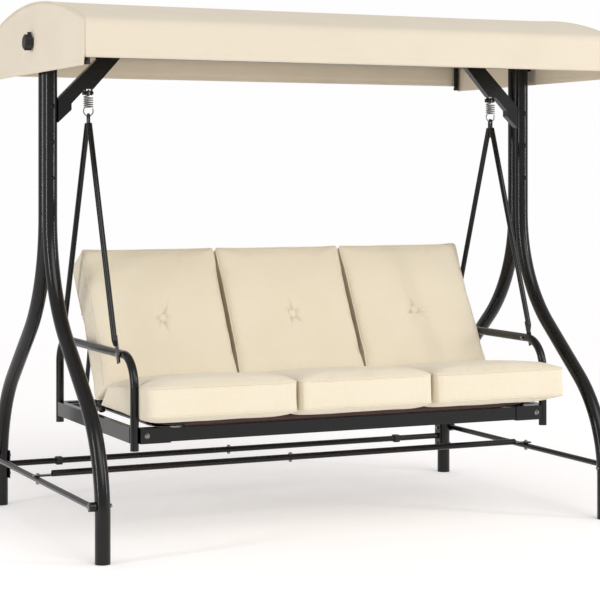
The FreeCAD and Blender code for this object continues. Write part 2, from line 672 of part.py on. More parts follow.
def make_seat_rails():
    """Side rails between the armrest tubes, a front rail in two sleeves and a rear rail."""
    half = size("side_rail_width") / 2
    wall = size("section_wall")
    for side, sign in SIDES:
        x = sign * size("arm_plane")
        low = (x - half, size("arm_front") + arm_radius + 0.2, size("rail_base"))
        high = (x + half, size("arm_rear") - arm_radius - 0.2, size("rail_top"))
        keep(box_tube("side_rail_" + side, low, high, wall), "side_rail_" + side)
    depth = size("front_rail_depth") / 2
    reach = size("sleeve_outer_end") - 4.0
    y = size("arm_front")
    rail = box_tube("front_rail_tube", (-1.0 * reach, y - depth, size("front_rail_base")),
                    (reach, y + depth, size("front_rail_top")), size("front_rail_wall"))
    drills = []
    sleeves = []
    bolt_x = size("sleeve_outer_end") - 22.0
    level = (size("front_rail_base") + size("front_rail_top")) / 2
    for side, sign in SIDES:
        drills.append(hole("front_rail_hole_" + side, "Y", (sign * bolt_x, y, level), 60.0))
        grow = size("sleeve_grow")
        near, far = size("sleeve_inner_end"), size("sleeve_outer_end")
        x_low, x_high = (near, far) if sign > 0 else (-1.0 * far, -1.0 * near)
        outer = box("sleeve_outer_" + side, (x_low, y - depth - grow, size("front_rail_base") - grow),
                    (x_high, y + depth + grow, size("front_rail_top") + grow))
        inner = box("sleeve_inner_" + side, (x_low, y - depth - 0.3, size("front_rail_base") - 0.3),
                    (x_high, y + depth + 0.3, size("front_rail_top") + 0.3))
        drill = hole("sleeve_hole_" + side, "Y", (sign * bolt_x, y, level), 60.0)
        sleeves.append(cut("front_sleeve_" + side, outer, inner, drill))
    keep(cut("front_rail_drilled", rail, *drills), "front_rail")
    keep(group("front_rail_sleeves", *sleeves), "front_rail_sleeves")
    rear = box_tube("rear_rail_body",
                    (-1.0 * size("sleeve_outer_end"), size("arm_rear") - depth, size("rear_rail_base")),
                    (size("sleeve_outer_end"), size("arm_rear") + depth,
                     size("rear_rail_top")), size("rear_rail_wall"))
    keep(rear, "rear_rail")


def make_prop_rests():
    """A welded shelf with a stop behind it on each side rail, beside the prop's foot."""
    foot_y = foot_point()[0]
    foot_z = foot_point()[1]
    rests = []
    for side, sign in SIDES:
        near = size("prop_side") + size("prop_dia") / 2 + 1.8
        far = size("arm_plane") - size("side_rail_width") / 2 - 0.1
        x_low, x_high = (near, far) if sign > 0 else (-1.0 * far, -1.0 * near)
        under = foot_z - size("prop_dia") / 2 - 0.5
        shelf = box("prop_shelf_" + side, (x_low, foot_y - 18.0, under - 5.0),
                    (x_high, foot_y + 20.0, under))
        stop = box("prop_stop_" + side, (x_low, foot_y + 10.0, under - 5.0),
                   (x_high, foot_y + 20.0, under + 18.0))
        rests.append(fuse("prop_rest_" + side, shelf, stop))
    keep(group("prop_rests", *rests), "prop_rests")


def make_seat_frame():
    """A U of tube on the rails with a cross bar near the hinge; it carries the sling."""
    side = size("seat_tube_side")
    bend = size("seat_tube_bend")
    depth_run = size("seat_tube_rear") - size("seat_tube_front") - bend
    width_run = side * 2 - bend * 2
    base = bent_tube("seat_loop", "XY_Plane", (-1.0 * side, size("seat_tube_rear")), (-90.0, 0.0, 90.0),
                     (depth_run, width_run,
                      depth_run), (bend, bend), size("seat_tube_dia"), size("seat_tube_wall"))
    place(base, 0, 0, size("seat_tube_level"))
    inner = side - size("seat_tube_dia") / 2 + 1.0
    bar = pipe("seat_bar", "X", (-1.0 * inner, size("seat_bar"), size("seat_tube_level")), inner * 2, 9.0,
               1.5)
    drills = []
    for name, sign in SIDES:
        centre = (sign * side, size("hinge_depth"), size("seat_tube_level"))
        drills.append(hole("seat_hinge_hole_" + name, "X", centre, size("seat_tube_dia") + 6.0))
    keep(cut("seat_frame_drilled", fuse("seat_frame_solid", base, bar), *drills), "seat_frame")


def make_seat_sling():
    """Mesh stretched over the seat frame and sewn round its front tube."""
    half = size("sling_half")
    top = size("seat_tube_level") + size("seat_tube_dia") / 2 + size("slack")
    thick = size("sling_thick")
    front = size("seat_tube_front")
    sheet_low = (-1.0 * half, front, top)
    flat = box("sling_flat", sheet_low, (half, size("hinge_depth") - 20.0, top + thick))
    inner = size("seat_tube_dia") / 2 + size("slack")
    sleeve = pipe("sling_sleeve", "X", (-1.0 * half, front, size("seat_tube_level")), half * 2,
                  inner + thick, thick)
    keep(fuse("seat_sling_solid", flat, sleeve), "seat_sling")


def make_seat_bolts():
    """Bolts of the swing seat: rod ends, front sleeves and backrest hinges."""
    bolts = []
    level = (size("front_rail_base") + size("front_rail_top")) / 2
    for side, sign in SIDES:
        for end, foot in (("front", size("rod_front")), ("rear", size("rod_rear"))):
            outside = sign * (size("arm_plane") + arm_radius + size("fit_gap") + size("link_thick"))
            grip = size("arm_dia") + size("fit_gap") + size("link_thick")
            bolts.append(bolt("rod_bolt_%s_%s" % (end, side), "X", (outside, foot, size("arm_height")),
                              grip, -sign))
        face = size("arm_front") - size("front_rail_depth") / 2 - size("sleeve_grow")
        grip = size("front_rail_depth") + size("sleeve_grow") * 2
        bolt_x = sign * (size("sleeve_outer_end") - 22.0)
        bolts.append(bolt("sleeve_bolt_" + side, "Y", (bolt_x, face, level), grip, 1))
        inside = sign * (size("seat_tube_side") - size("seat_tube_dia") / 2)
        hinge = (inside, size("hinge_depth"), size("seat_tube_level"))
        grip = size("back_tube_side") - size("seat_tube_side") + (size("seat_tube_dia") + size("back_tube_dia")) / 2
        bolts.append(bolt("hinge_bolt_" + side, "X", hinge, grip, sign))
    keep(group("seat_bolts", *bolts), "seat_bolts")


# ---------------------------------------------------------------- backrest
back_turn = FreeCAD.Rotation(FreeCAD.Vector(1, 0, 0), 90.0 - plain(size("recline_angle")))


def place_on_back(item):
    """Moves a piece drawn in the backrest's own plane to the hinge and leans it back."""
    place(item, 0, size("hinge_depth"), size("seat_tube_level"), back_turn)
    bind(item, "Placement.Rotation.Angle", 90.0 - size("recline_angle"))
    return item


def foot_point():
    """Where the prop's foot bar stands, as its depth and height."""
    recline = size("recline_angle")
    prop_lean = size("prop_angle")
    depth = size("hinge_depth") + size("prop_pivot") * sine(recline) + size("prop_length") * sine(prop_lean)
    height = size("seat_tube_level") + size("prop_pivot") * cosine(recline) - size("prop_length") * cosine(prop_lean)
    return depth, height


def make_back_frame():
    side = size("back_tube_side")
    bend = size("back_tube_bend")
    rise = size("back_tube_top") + size("back_tube_tail") - bend
    width = side * 2 - bend * 2
    loop = bent_tube("back_loop", "XY_Plane", (-1.0 * side, -1.0 * size("back_tube_tail")),
                     (90.0, 0.0, -90.0),
                     (rise, width, rise), (bend, bend), size("back_tube_dia"), size("back_tube_wall"))
    inner = side - size("back_tube_dia") / 2 + 1.0
    bar = pipe("back_bar", "X", (-1.0 * inner, size("back_bar"), 0), inner * 2, 8.0, 1.5)
    drills = []
    for name, sign in SIDES:
        for spot, height in (("hinge", 0), ("prop", size("prop_pivot"))):
            length = size("back_tube_dia") + 6.0
            start = (sign * side - length / 2, height, 0)
            radius = size("bolt_dia") / 2 + size("running_clearance")
            drills.append(cylinder("back_%s_hole_%s" % (spot, name), "X", start, length, radius))
    frame = cut("back_frame_drilled", fuse("back_frame_solid", loop, bar), *drills)
    keep(place_on_back(frame), "back_frame")


def make_back_sling():
    """Mesh across the front of the back frame."""
    half = size("back_tube_side") - size("back_tube_dia") / 2
    front = size("back_tube_dia") / 2 + size("slack")
    sling = box("back_sling_sheet", (-1.0 * half, 30.0, front),
                (half, size("back_tube_top"), front + size("sling_thick")))
    keep(place_on_back(group("back_sling_group", sling)), "back_sling")


def cushion_spans():
    """The three equal seats: name, left end and right end."""
    third = size("cushion_half") * 2 / 3
    gap = size("cushion_gap") / 2
    edge = -1.0 * size("cushion_half")
    return [
        ("left", edge, edge + third - gap),
        ("middle", edge + third + gap, edge + third * 2 - gap),
        ("right", edge + third * 2 + gap, size("cushion_half"))]


def back_to_world(along, out):
    """Depth and height of a point given along and out of the backrest's plane."""
    recline = size("recline_angle")
    depth = size("hinge_depth") + along * sine(recline) - out * cosine(recline)
    height = size("seat_tube_level") + along * cosine(recline) + out * sine(recline)
    return depth, height


def make_cushions():
    """Foam is light, so each cushion is a sealed skin that weighs what the whole one does."""
    skin = size("cushion_skin")
    front_out = size("back_front") + size("fold_gap")
    low_along = size("back_low") - size("fold_gap")
    knee = back_to_world(low_along, front_out)
    top = back_to_world(size("seat_fold_height"), front_out)
    outline = [
        (size("seat_front"), size("seat_front_low")),
        (size("seat_rest"), size("seat_rear_low")),
        (size("hinge_depth") - size("seat_rear_gap"), size("seat_rear_low")),
        knee,
        top,
        (size("seat_crown_depth"), size("seat_crown")),
        (size("seat_front") + size("seat_front_lean"), size("seat_front_high"))]
    for name, low, high in cushion_spans():
        block = prism("seat_block_" + name, outline, "YZ_Plane", 1, low, high)
        core = doc.addObject("Part::Offset", "seat_core_" + name)
        core.Source = block
        bind(core, "Value", -1.0 * skin)
        core.Join = 2
        keep(cut("seat_skin_" + name, block, core), "seat_cushion_" + name)
    buttons = []
    for name, low, high in cushion_spans():
        pad = box("back_pad_" + name, (low, size("back_low"), size("back_rear")),
                  (high, size("back_high"), size("back_front")))
        core = box("back_core_" + name, (low + skin, size("back_low") + skin, size("back_rear") + skin),
                   (high - skin, size("back_high") - skin, size("back_front") - skin * 2))
        middle = ((low + high) / 2, size("button_height"), size("back_front") - size("button_depth"))
        well = cylinder("button_well_" + name, "Z", middle, size("button_depth") + 1.0,
                        size("button_dia") / 2 + size("slack"))
        keep(place_on_back(cut("back_skin_" + name, pad, core, well)), "back_cushion_" + name)
        lifted = (middle[0], middle[1], middle[2] + 0.3)
        buttons.append(cylinder("button_" + name, "Z", lifted, size("button_depth"),
                                size("button_dia") / 2))
    keep(place_on_back(group("button_group", *buttons)), "back_buttons")


def make_prop():
    """A U of thin tube pivoted on the back frame; its foot bar stands on the rests."""
    side = size("prop_side")
    bend = size("prop_bend")
    fall = size("prop_length") + size("prop_tail") - bend
    width = side * 2 - bend * 2
    loop = bent_tube("prop_loop", "XY_Plane", (-1.0 * side, size("prop_tail")), (-90.0, 0.0, 90.0),
                     (fall, width, fall), (bend, bend), size("prop_dia"), size("prop_wall"))
    drills = []
    for name, sign in SIDES:
        length = size("prop_dia") + 6.0
        radius = size("bolt_dia") / 2 + size("running_clearance")
        drills.append(cylinder("prop_hole_" + name, "X", (sign * side - length / 2, 0, 0), length,
                               radius))
    prop = cut("back_prop_drilled", loop, *drills)
    recline = size("recline_angle")
    depth = size("hinge_depth") + size("prop_pivot") * sine(recline)
    height = size("seat_tube_level") + size("prop_pivot") * cosine(recline)
    turn = FreeCAD.Rotation(FreeCAD.Vector(1, 0, 0), 90.0 + plain(size("prop_angle")))
    place(prop, 0, depth, height, turn)
    bind(prop, "Placement.Rotation.Angle", 90.0 + size("prop_angle"))
    keep(prop, "back_prop")
    bolts = []
    for name, sign in SIDES:
        outside = sign * (size("back_tube_side") + size("back_tube_dia") / 2)
        grip = size("back_tube_side") - size("prop_side") + (size("back_tube_dia") + size("prop_dia")) / 2
        bolts.append(bolt("prop_bolt_" + name, "X", (outside, size("prop_pivot"), 0), grip, -sign))
    keep(place_on_back(group("prop_bolt_group", *bolts)), "prop_bolts")


# ---------------------------------------------------------------- stretchers
def make_side_bar(side, sign):
    """A tube along the outer faces of the front and rear legs with a thick eye at each end."""
    name = "side_stretcher_" + side
    x = sign * size("side_bar_plane")
    z = size("side_bar_height")
    reach = size("foot_reach") - 10.0
    tube = pipe(name + "_tube", "Y", (x, -1.0 * reach, z), reach * 2, size("side_bar_dia") / 2,
                size("bar_wall"))
    inner = size("leg_plane") + tube_radius + 0.2
    start_x = inner if sign > 0 else -1.0 * inner - size("eye_width")
    eyes = []
    drills = [hole(name + "_middle_hole", "Z", (x, 0, z), 40.0)]
    for end, way in ENDS:
        y = way * side_bolt_depth
        eyes.append(cylinder("%s_eye_%s" % (name, end), "X", (start_x, y, z), size("eye_width"),
                             size("eye_dia") / 2))
        drills.append(hole("%s_hole_%s" % (name, end), "X", (x, y, z), 60.0))
    keep(cut(name, fuse(name + "_solid", tube, *eyes), *drills), name)


def make_middle_bars():
    """The centre stretcher: two tubes, one sliding in the other, with flattened outer ends."""
    z = size("middle_bar_height")
    radius = size("middle_bar_dia") / 2
    wall = size("bar_wall")
    for side, sign in SIDES:
        name = "centre_stretcher_" + side
        start = -1.0 * size("middle_bar_end") if sign < 0 else sized(0.2)
        tube = pipe(name + "_tube", "X", (start, 0, z), size("middle_bar_end") - 0.2, radius, wall)
        low_z = size("side_bar_height") + size("side_bar_dia") / 2 + 0.2
        tip = size("side_bar_plane") + 16.0
        root = size("middle_bar_end") - 12.0
        x_low, x_high = (root, tip) if sign > 0 else (-1.0 * tip, -1.0 * root)
        half = size("paddle_width") / 2
        paddle = box(name + "_paddle", (x_low, -1.0 * half, low_z),
                     (x_high, half, low_z + size("paddle_thick")))
        drills = [hole(name + "_end_hole", "Z", (sign * size("side_bar_plane"), 0, low_z), 40.0),
                  hole(name + "_joint_hole", "Z", (size("joint_bolt"), 0, z), 40.0)]
        parts = [tube, paddle]
        if sign > 0:
            spigot = pipe(name + "_spigot", "X", (-1.0 * size("joint_overlap"), 0, z),
                          size("joint_overlap") + 40.0,
                          radius - wall - 0.1, 1.6)
            collar = pipe(name + "_collar", "X", (20.0, 0, z), 20.0, radius - wall + 0.1, 1.6)
            parts += [spigot, collar]
        keep(cut(name, fuse(name + "_solid", *parts), *drills), name)


def make_rear_bars():
    """The rear stretcher: two tubes joined in the middle, each with a bolted end flange."""
    z = size("rear_bar_height")
    y = size("foot_reach")
    radius = size("rear_bar_dia") / 2
    wall = size("bar_wall")
    end = size("leg_plane") - tube_radius - 0.2
    for side, sign in SIDES:
        name = "rear_stretcher_" + side
        inner = end - size("flange_thick")
        start = -1.0 * inner if sign < 0 else sized(0.2)
        tube = pipe(name + "_tube", "X", (start, y, z), inner - 0.2, radius, wall)
        x_low, x_high = (inner, end) if sign > 0 else (-1.0 * end, -1.0 * inner)
        half = size("flange_width") / 2
        flange = box(name + "_flange", (x_low, y - half, size("flange_low")),
                     (x_high, y + half, size("flange_high")))
        drills = [hole(name + "_low_hole", "X", (sign * end, y, size("lower_flange_bolt")), 30.0),
                  hole(name + "_high_hole", "X", (sign * end, side_bolt_depth, size("side_bar_height")),
                       30.0),
                  hole(name + "_joint_hole", "Z", (size("joint_bolt"), y, z), 40.0)]
        parts = [tube, flange]
        if sign > 0:
            spigot = pipe(name + "_spigot", "X", (-1.0 * size("joint_overlap"), y, z),
                          size("joint_overlap") + 40.0,
                          radius - wall - 0.1, 1.6)
            collar = pipe(name + "_collar", "X", (20.0, y, z), 20.0, radius - wall + 0.1, 1.6)
            parts += [spigot, collar]
        keep(cut(name, fuse(name + "_solid", *parts), *drills), name)
    clamps = []
    half = size("clamp_height") / 2
    for side, sign in SIDES:
        middle = sign * size("clamp_place")
        reach = size("clamp_length") / 2
        block = box("clamp_block_" + side, (middle - reach, y - half, z - half),
                    (middle + reach, y + half, z + half))
        start = (middle - reach - 1.0, y, z)
        bore = cylinder("clamp_bore_" + side, "X", start, size("clamp_length") + 2.0, radius + 0.2)
        clamps.append(cut("clamp_" + side, block, bore))
    keep(group("rear_stretcher_clamps", *clamps), "rear_stretcher_clamps")


def make_stretcher_bolts():
    """Bolts of the stretchers: through the legs, down through the side bars and at the joints."""
    bolts = []
    side_face = size("leg_plane") + tube_radius + 0.2 + size("eye_width")
    for side, sign in SIDES:
        for end, way in ENDS:
            extra = size("flange_thick") + 0.2 if end == "rear" else sized(0.0)
            grip = size("tube_dia") + 0.4 + size("eye_width") + extra
            head = (sign * side_face, way * side_bolt_depth, size("side_bar_height"))
            bolts.append(bolt("side_bolt_%s_%s" % (end, side), "X", head, grip, -sign))
        low = (sign * (size("leg_plane") + tube_radius), size("foot_reach"), size("lower_flange_bolt"))
        grip = size("tube_dia") + 0.4 + size("flange_thick")
        bolts.append(bolt("flange_bolt_" + side, "X", low, grip, -sign))
        paddle_top = size("side_bar_height") + size("side_bar_dia") / 2 + 0.2 + size("paddle_thick")
        grip = size("side_bar_dia") + 0.2 + size("paddle_thick")
        bolts.append(bolt("paddle_bolt_" + side, "Z", (sign * size("side_bar_plane"), 0, paddle_top),
                          grip, -1))
    for name, depth, level in (("centre", sized(0), size("middle_bar_height")),
                               ("rear", size("foot_reach"), size("rear_bar_height"))):
        radius = size("middle_bar_dia") / 2
        bolts.append(bolt("joint_bolt_" + name, "Z", (size("joint_bolt"), depth, level + radius),
                          radius * 2, -1))
    keep(group("stretcher_bolts", *bolts), "stretcher_bolts")


# ---------------------------------------------------------------- canopy
def arched_block(name, half_length, reach, base, eave, crown, corner):
    """A long block with an arched top, rounded where the top meets the long sides."""
    body = doc.addObject("PartDesign::Body", name)
    sketch = new_sketch(body, name + "_profile", "YZ_Plane")
    sag = sized(crown) - eave
    radius = (reach * reach + sag * sag) / (sag * 2)
    corners = [(-1.0 * reach, eave), (-1.0 * reach, base), (reach, base), (reach, eave)]
    vectors = [FreeCAD.Vector(plain(u), plain(v), 0) for u, v in corners]
    for first, second in zip(vectors, vectors[1:]):
        sketch.addGeometry(Part.LineSegment(first, second))
    sketch.addGeometry(Part.Arc(vectors[3], FreeCAD.Vector(0, plain(crown), 0), vectors[0]))
    for first, second in ((0, 1), (1, 2)):
        sketch.addConstraint(Sketcher.Constraint("Coincident", first, 2, second, 1))
    sketch.addConstraint(Sketcher.Constraint("Coincident", 2, 2, 3, 1))
    sketch.addConstraint(Sketcher.Constraint("Coincident", 3, 2, 0, 1))
    for edge, corner_point in enumerate(corners[:3]):
        anchor_point(sketch, edge, 1, corner_point[0], corner_point[1])
    anchor_point(sketch, 2, 2, corners[3][0], corners[3][1])
    constrain(sketch, radius, "Radius", 3)
    pad = body.newObject("PartDesign::Pad", name + "_pad")
    pad.Profile = sketch
    pad.Midplane = True
    bind(pad, "Length", sized(half_length) * 2)
    doc.recompute()
    long_edges = []
    for index, edge in enumerate(pad.Shape.Edges, start=1):
        middle = edge.CenterOfMass
        if abs(middle.x) < 1.0 and abs(middle.z - plain(eave)) < 1.0 and edge.BoundBox.XLength > 100.0:
            long_edges.append("Edge%d" % index)
    fillet = body.newObject("PartDesign::Fillet", name + "_fillet")
    fillet.Base = (pad, long_edges)
    bind(fillet, "Radius", corner)
    body.Tip = fillet
    return body


def make_cover():
    """The fabric roof: arched top, front and rear valances and two deeper end panels."""
    thick = size("cover_thick")
    outer = arched_block("cover_outer", size("canopy_half"), size("canopy_reach"), size("end_hem"),
                         size("canopy_eave"), size("canopy_crown"), size("cover_corner"))
    inner = arched_block("cover_inner", size("canopy_half") - thick, size("canopy_reach") - thick,
                         size("end_hem") - 20.0, size("canopy_eave") - thick, size("canopy_crown") - thick,
                         size("cover_corner") - thick)
    reach = size("canopy_half") - thick
    depth = size("canopy_reach")
    low = size("end_hem") - 20.0
    front = box("front_trim", (-1.0 * reach, -1.0 * depth - 5.0, low), (reach, 0, size("front_hem")))
    rear = box("rear_trim", (-1.0 * reach, 0, low), (reach, depth + 5.0, size("rear_hem")))
    bores = []
    for side, sign in SIDES:
        start = (sign * size("canopy_half") - 10.0, 0, size("pivot_height"))
        bores.append(cylinder("cover_bore_" + side, "X", start, 20.0, 11.0))
    keep(cut("cover_cut", outer, inner, front, rear, *bores), "canopy_cover")


def make_arch(side, sign):
    """A canopy end frame: two short uprights joined by a shallow arch."""
    slope = size("arch_slope_angle")
    bend = size("arch_bend")
    link = size("arch_link")
    corner_shift = bend * (1.0 - sine(slope)) + link * cosine(slope)
    crown_radius = (size("arch_reach") - corner_shift) / sine(slope)
    crown_rise = crown_radius * (1.0 - cosine(slope))
    rise = size("arch_crown") - crown_rise - link * sine(slope) - bend * cosine(slope) - size("arch_foot")
    name = "canopy_arch_" + side
    base = bent_tube(name + "_tube", "YZ_Plane", (-1.0 * size("arch_reach"), size("arch_foot")),
                     (90.0, slope, -1.0 * slope, -90.0), (rise, link, link, rise),
                     (bend, crown_radius, bend), size("arch_dia"), size("arch_wall"))
    keep(place(base, sign * size("arch_plane"), 0, 0), name)


def make_canopy_rails():
    """Front, rear and ridge tubes between the two end frames."""
    reach = size("arch_plane") - size("arch_dia") / 2 - 0.2
    rails = []
    spots = (("front", -1.0 * size("arch_reach"), size("canopy_rail_height")),
             ("ridge", sized(0.0), size("arch_crown")),
             ("rear", size("arch_reach"), size("canopy_rail_height")))
    for name, depth, level in spots:
        rails.append(pipe("canopy_rail_" + name, "X", (-1.0 * reach, depth, level), reach * 2,
                          size("arch_dia") / 2, size("arch_wall")))
    keep(group("canopy_rails", *rails), "canopy_rails")


def make_end_bars():
    """A flat bar across each end frame with the hole that the canopy tilts on."""
    half = size("end_bar_thick") / 2
    bars = []
    for side, sign in SIDES:
        x = sign * size("arch_plane")
        reach = size("end_bar_reach")
        tall = size("end_bar_height") / 2
        flat = box("end_bar_flat_" + side, (x - half, -1.0 * reach, size("pivot_height") - tall),
                   (x + half, reach, size("pivot_height") + tall))
        boss = cylinder("end_bar_boss_" + side, "X", (x - half, 0, size("pivot_height")), half * 2, 26.0)
        bore_radius = size("bolt_dia") / 2 + size("running_clearance")
        bore = cylinder("end_bar_bore_" + side, "X", (x - 10.0, 0, size("pivot_height")), 20.0,
                        bore_radius)
        bars.append(cut("end_bar_" + side, fuse("end_bar_solid_" + side, flat, boss), bore))
    keep(group("canopy_end_bars", *bars), "canopy_end_bars")


def make_canopy_caps():
    caps = []
    for side, sign in SIDES:
        for end, way in ENDS:
            name = "canopy_cap_%s_%s" % (end, side)
            centre = (sign * size("arch_plane"), way * size("arch_reach"),
                      size("arch_foot") - size("cap_rise"))
            shell = cylinder(name + "_shell", "Z", centre, size("cap_rise") - 0.2, size("cap_dia") / 2)
            stem = cylinder(name + "_stem", "Z", centre, size("cap_rise") + 12.0,
                            size("arch_dia") / 2 - size("arch_wall") - 0.2)
            caps.append(fuse(name, shell, stem))
    keep(group("canopy_end_caps", *caps), "canopy_end_caps")


def make_pivots():
    """The plates on the posts that carry the canopy, their shoulder bolts and hand knobs."""
    plates = []
    bolts = []
    plate_in = size("leg_plane") + tube_radius + 0.2
    plate_out = plate_in + size("flange_thick")
    radius = size("bolt_dia") / 2
    level = size("pivot_height")
    for side, sign in SIDES:
        x_low, x_high = (plate_in, plate_out) if sign > 0 else (-1.0 * plate_out, -1.0 * plate_in)
        half = size("pivot_plate_width") / 2
        plate = box("pivot_plate_body_" + side, (x_low, -1.0 * half, size("pivot_plate_low")),
                    (x_high, half, size("post_top") - 2.0))
        plates.append(cut("pivot_plate_" + side, plate,
                          hole("pivot_plate_hole_" + side, "X", (x_low, 0, level), 30.0)))
        tip = size("knob_face") + size("knob_thick") - 4.0
        head_in = plate_in - 4.0
        spans = (("head", head_in, plate_in - 0.1, radius + 3.0), ("shank", head_in, tip, radius),
                 ("collar", plate_out + 0.1, size("arch_plane") - size("end_bar_thick") / 2 - 0.2,
                  radius * 2))
        parts = []
        for name, near, far, thick in spans:
            start = near if sign > 0 else -1.0 * far
            parts.append(cylinder("pivot_%s_%s" % (name, side), "X", (start, 0, level), far - near,
                                  thick))
        bolts.append(fuse("pivot_bolt_" + side, *parts))
        make_knob(side, sign, tip)
    keep(group("pivot_plates", *plates), "pivot_plates")
    keep(group("canopy_pivot_bolts", *bolts), "canopy_pivot_bolts")


def make_knob(side, sign, bolt_tip):
    """A lobed hand knob with one wing on the end of the canopy's pivot bolt."""
    level = size("pivot_height")
    face = size("knob_face")
    hub_in = size("arch_plane") + size("end_bar_thick") / 2 + 0.3
    thick = size("knob_thick")
    parts = []

    def drum(name, near, length, radius, y, z):
        start = near if sign > 0 else -1.0 * (near + length)
        return cylinder("knob_%s_%s" % (name, side), "X", (start, y, z), length, radius)

    parts.append(drum("hub", hub_in, face - hub_in + 1.0, sized(8.0), 0, level))
    parts.append(drum("core", face, thick, size("knob_dia") / 2, 0, level))
    lobes = 6
    ring = size("knob_dia") / 2 - 2.0
    for index in range(lobes):
        angle = math.radians(90.0 + 360.0 * index / lobes)
        y = ring * math.cos(angle)
        z = level + ring * math.sin(angle)
        parts.append(drum("lobe_%d" % index, face + 2.0, thick - 4.0, size("knob_lobe"), y, z))
    wing_near = sign * (face + 2.0)
    wing_far = sign * (face + 2.0 + size("wing_length"))
    half = size("wing_half")
    low, high = (wing_near, wing_far) if sign > 0 else (wing_far, wing_near)
    parts.append(box("knob_wing_" + side, (low, -1.0 * half, level + ring), (high, half, level + size("wing_tip"))))
    radius = size("bolt_dia") / 2 + size("running_clearance")
    bore = drum("bore", hub_in - 1.0, bolt_tip - hub_in + 1.5, radius, 0, level)
    keep(cut("knob_cut_" + side, fuse("knob_solid_" + side, *parts), bore), "knob_" + side)


# ---------------------------------------------------------------- assembly
for side_name, side_sign in SIDES:
    for end_name, end_way in ENDS:
        make_leg(side_name, side_sign, end_name, end_way)
    make_posts(side_name, side_sign)
    make_brace(side_name, side_sign)
    make_side_bar(side_name, side_sign)
make_foot_caps()
make_post_bolts()
make_beam()
make_hanger_pins()
make_middle_bars()
make_rear_bars()
make_stretcher_bolts()
make_bushes()
make_springs()
keep(group("hanger_links", *[make_link(side_name, side_sign) for side_name, side_sign in SIDES]), "hanger_links")
for side_name, side_sign in SIDES:
    make_rods(side_name, side_sign)
    make_armrest(side_name, side_sign)
make_arm_plugs()
make_seat_rails()
make_prop_rests()
make_seat_frame()
make_seat_sling()
make_seat_bolts()
make_back_frame()
make_back_sling()
make_cushions()
make_prop()
for side_name, side_sign in SIDES:
    make_arch(side_name, side_sign)
make_canopy_rails()
make_end_bars()
make_canopy_caps()
make_cover()
make_pivots()

doc.recompute()

for item in doc.Objects:
    bad = [state for state in item.State if state in ("Invalid", "Error")]
    if bad:
        raise RuntimeError("%s is %s" % (item.Name, bad))
labels = [item.Label for item in nodes]
if len(set(labels)) != len(labels):
    raise RuntimeError("two sub-parts share a label")
os.makedirs("parts", exist_ok=True)
for item in nodes:
    if item.Shape.isNull() or not item.Shape.isValid():
        raise RuntimeError("bad shape: " + item.Label)
    item.Shape.exportStep("parts/%s.step" % item.Label)
    print("%-24s %2d solids %12.0f mm3" % (item.Label, len(item.Shape.Solids), item.Shape.Volume))
print(len(nodes), "nodes")
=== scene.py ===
"""Looks of a three-seat garden swing with a canopy, built around its packed steel frame.

Lengths are in metres. X runs along the bench, -Y is the front and Z is up.
"""

import json
import logging
import math
from dataclasses import dataclass
from enum import Enum
from typing import Callable, Sequence

import bpy
import numpy as np
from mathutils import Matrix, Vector, noise
from mathutils.kdtree import KDTree


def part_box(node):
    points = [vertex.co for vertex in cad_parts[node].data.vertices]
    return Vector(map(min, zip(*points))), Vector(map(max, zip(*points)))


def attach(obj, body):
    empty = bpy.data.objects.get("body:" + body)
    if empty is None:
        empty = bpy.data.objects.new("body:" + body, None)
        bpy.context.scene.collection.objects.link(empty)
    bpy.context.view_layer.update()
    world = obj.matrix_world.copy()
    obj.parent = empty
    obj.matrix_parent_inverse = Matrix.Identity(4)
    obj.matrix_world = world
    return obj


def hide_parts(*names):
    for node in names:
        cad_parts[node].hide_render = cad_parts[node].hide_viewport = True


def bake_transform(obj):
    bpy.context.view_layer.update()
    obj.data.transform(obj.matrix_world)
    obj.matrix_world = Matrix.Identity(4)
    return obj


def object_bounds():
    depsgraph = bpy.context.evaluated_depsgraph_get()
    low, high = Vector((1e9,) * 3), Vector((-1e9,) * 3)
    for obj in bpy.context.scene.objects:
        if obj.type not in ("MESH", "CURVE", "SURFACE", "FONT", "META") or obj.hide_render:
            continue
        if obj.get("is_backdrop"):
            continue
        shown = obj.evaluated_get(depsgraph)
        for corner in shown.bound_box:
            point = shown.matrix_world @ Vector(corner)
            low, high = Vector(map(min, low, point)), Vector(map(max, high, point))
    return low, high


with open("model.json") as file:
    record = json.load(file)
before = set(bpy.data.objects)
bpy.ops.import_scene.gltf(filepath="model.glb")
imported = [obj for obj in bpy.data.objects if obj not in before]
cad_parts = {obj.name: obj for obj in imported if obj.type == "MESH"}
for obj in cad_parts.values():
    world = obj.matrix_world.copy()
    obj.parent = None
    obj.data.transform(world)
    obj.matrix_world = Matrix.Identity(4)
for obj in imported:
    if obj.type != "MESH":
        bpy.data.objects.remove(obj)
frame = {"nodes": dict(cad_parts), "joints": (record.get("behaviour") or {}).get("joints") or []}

CAD_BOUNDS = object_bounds()
LOG = logging.getLogger("canopy_swing")
MM = 0.001
SIDES = ("left", "right")
SEATS = ("left", "middle", "right")
TINY = 1e-9
SKEW = (0.31, 0.52, 0.79)
Array = np.ndarray
Pair = tuple[float, float]
Triple = tuple[float, float, float]
Piece = bpy.types.Object
Tree = bpy.types.NodeTree
Node = bpy.types.Node
Socket = bpy.types.NodeSocket


class Cloth(Enum):
    """The two pale fabrics of the swing."""

    CUSHION = "cushion_fabric"
    CANOPY = "canopy_fabric"


# ---- colours and node helper
def linear(code: str) -> tuple[float, float, float, float]:
    """Turns an sRGB hex code into linear red, green, blue and alpha.

    Args:
        code: Six hex digits.

    Returns:
        Four numbers from 0 to 1.
    """
    channels = [int(code[i:i + 2], 16) / 255 for i in (0, 2, 4)]
    bent = [c / 12.92 if c <= 0.04045 else ((c + 0.055) / 1.055) ** 2.4 for c in channels]
    return (bent[0], bent[1], bent[2], 1.0)


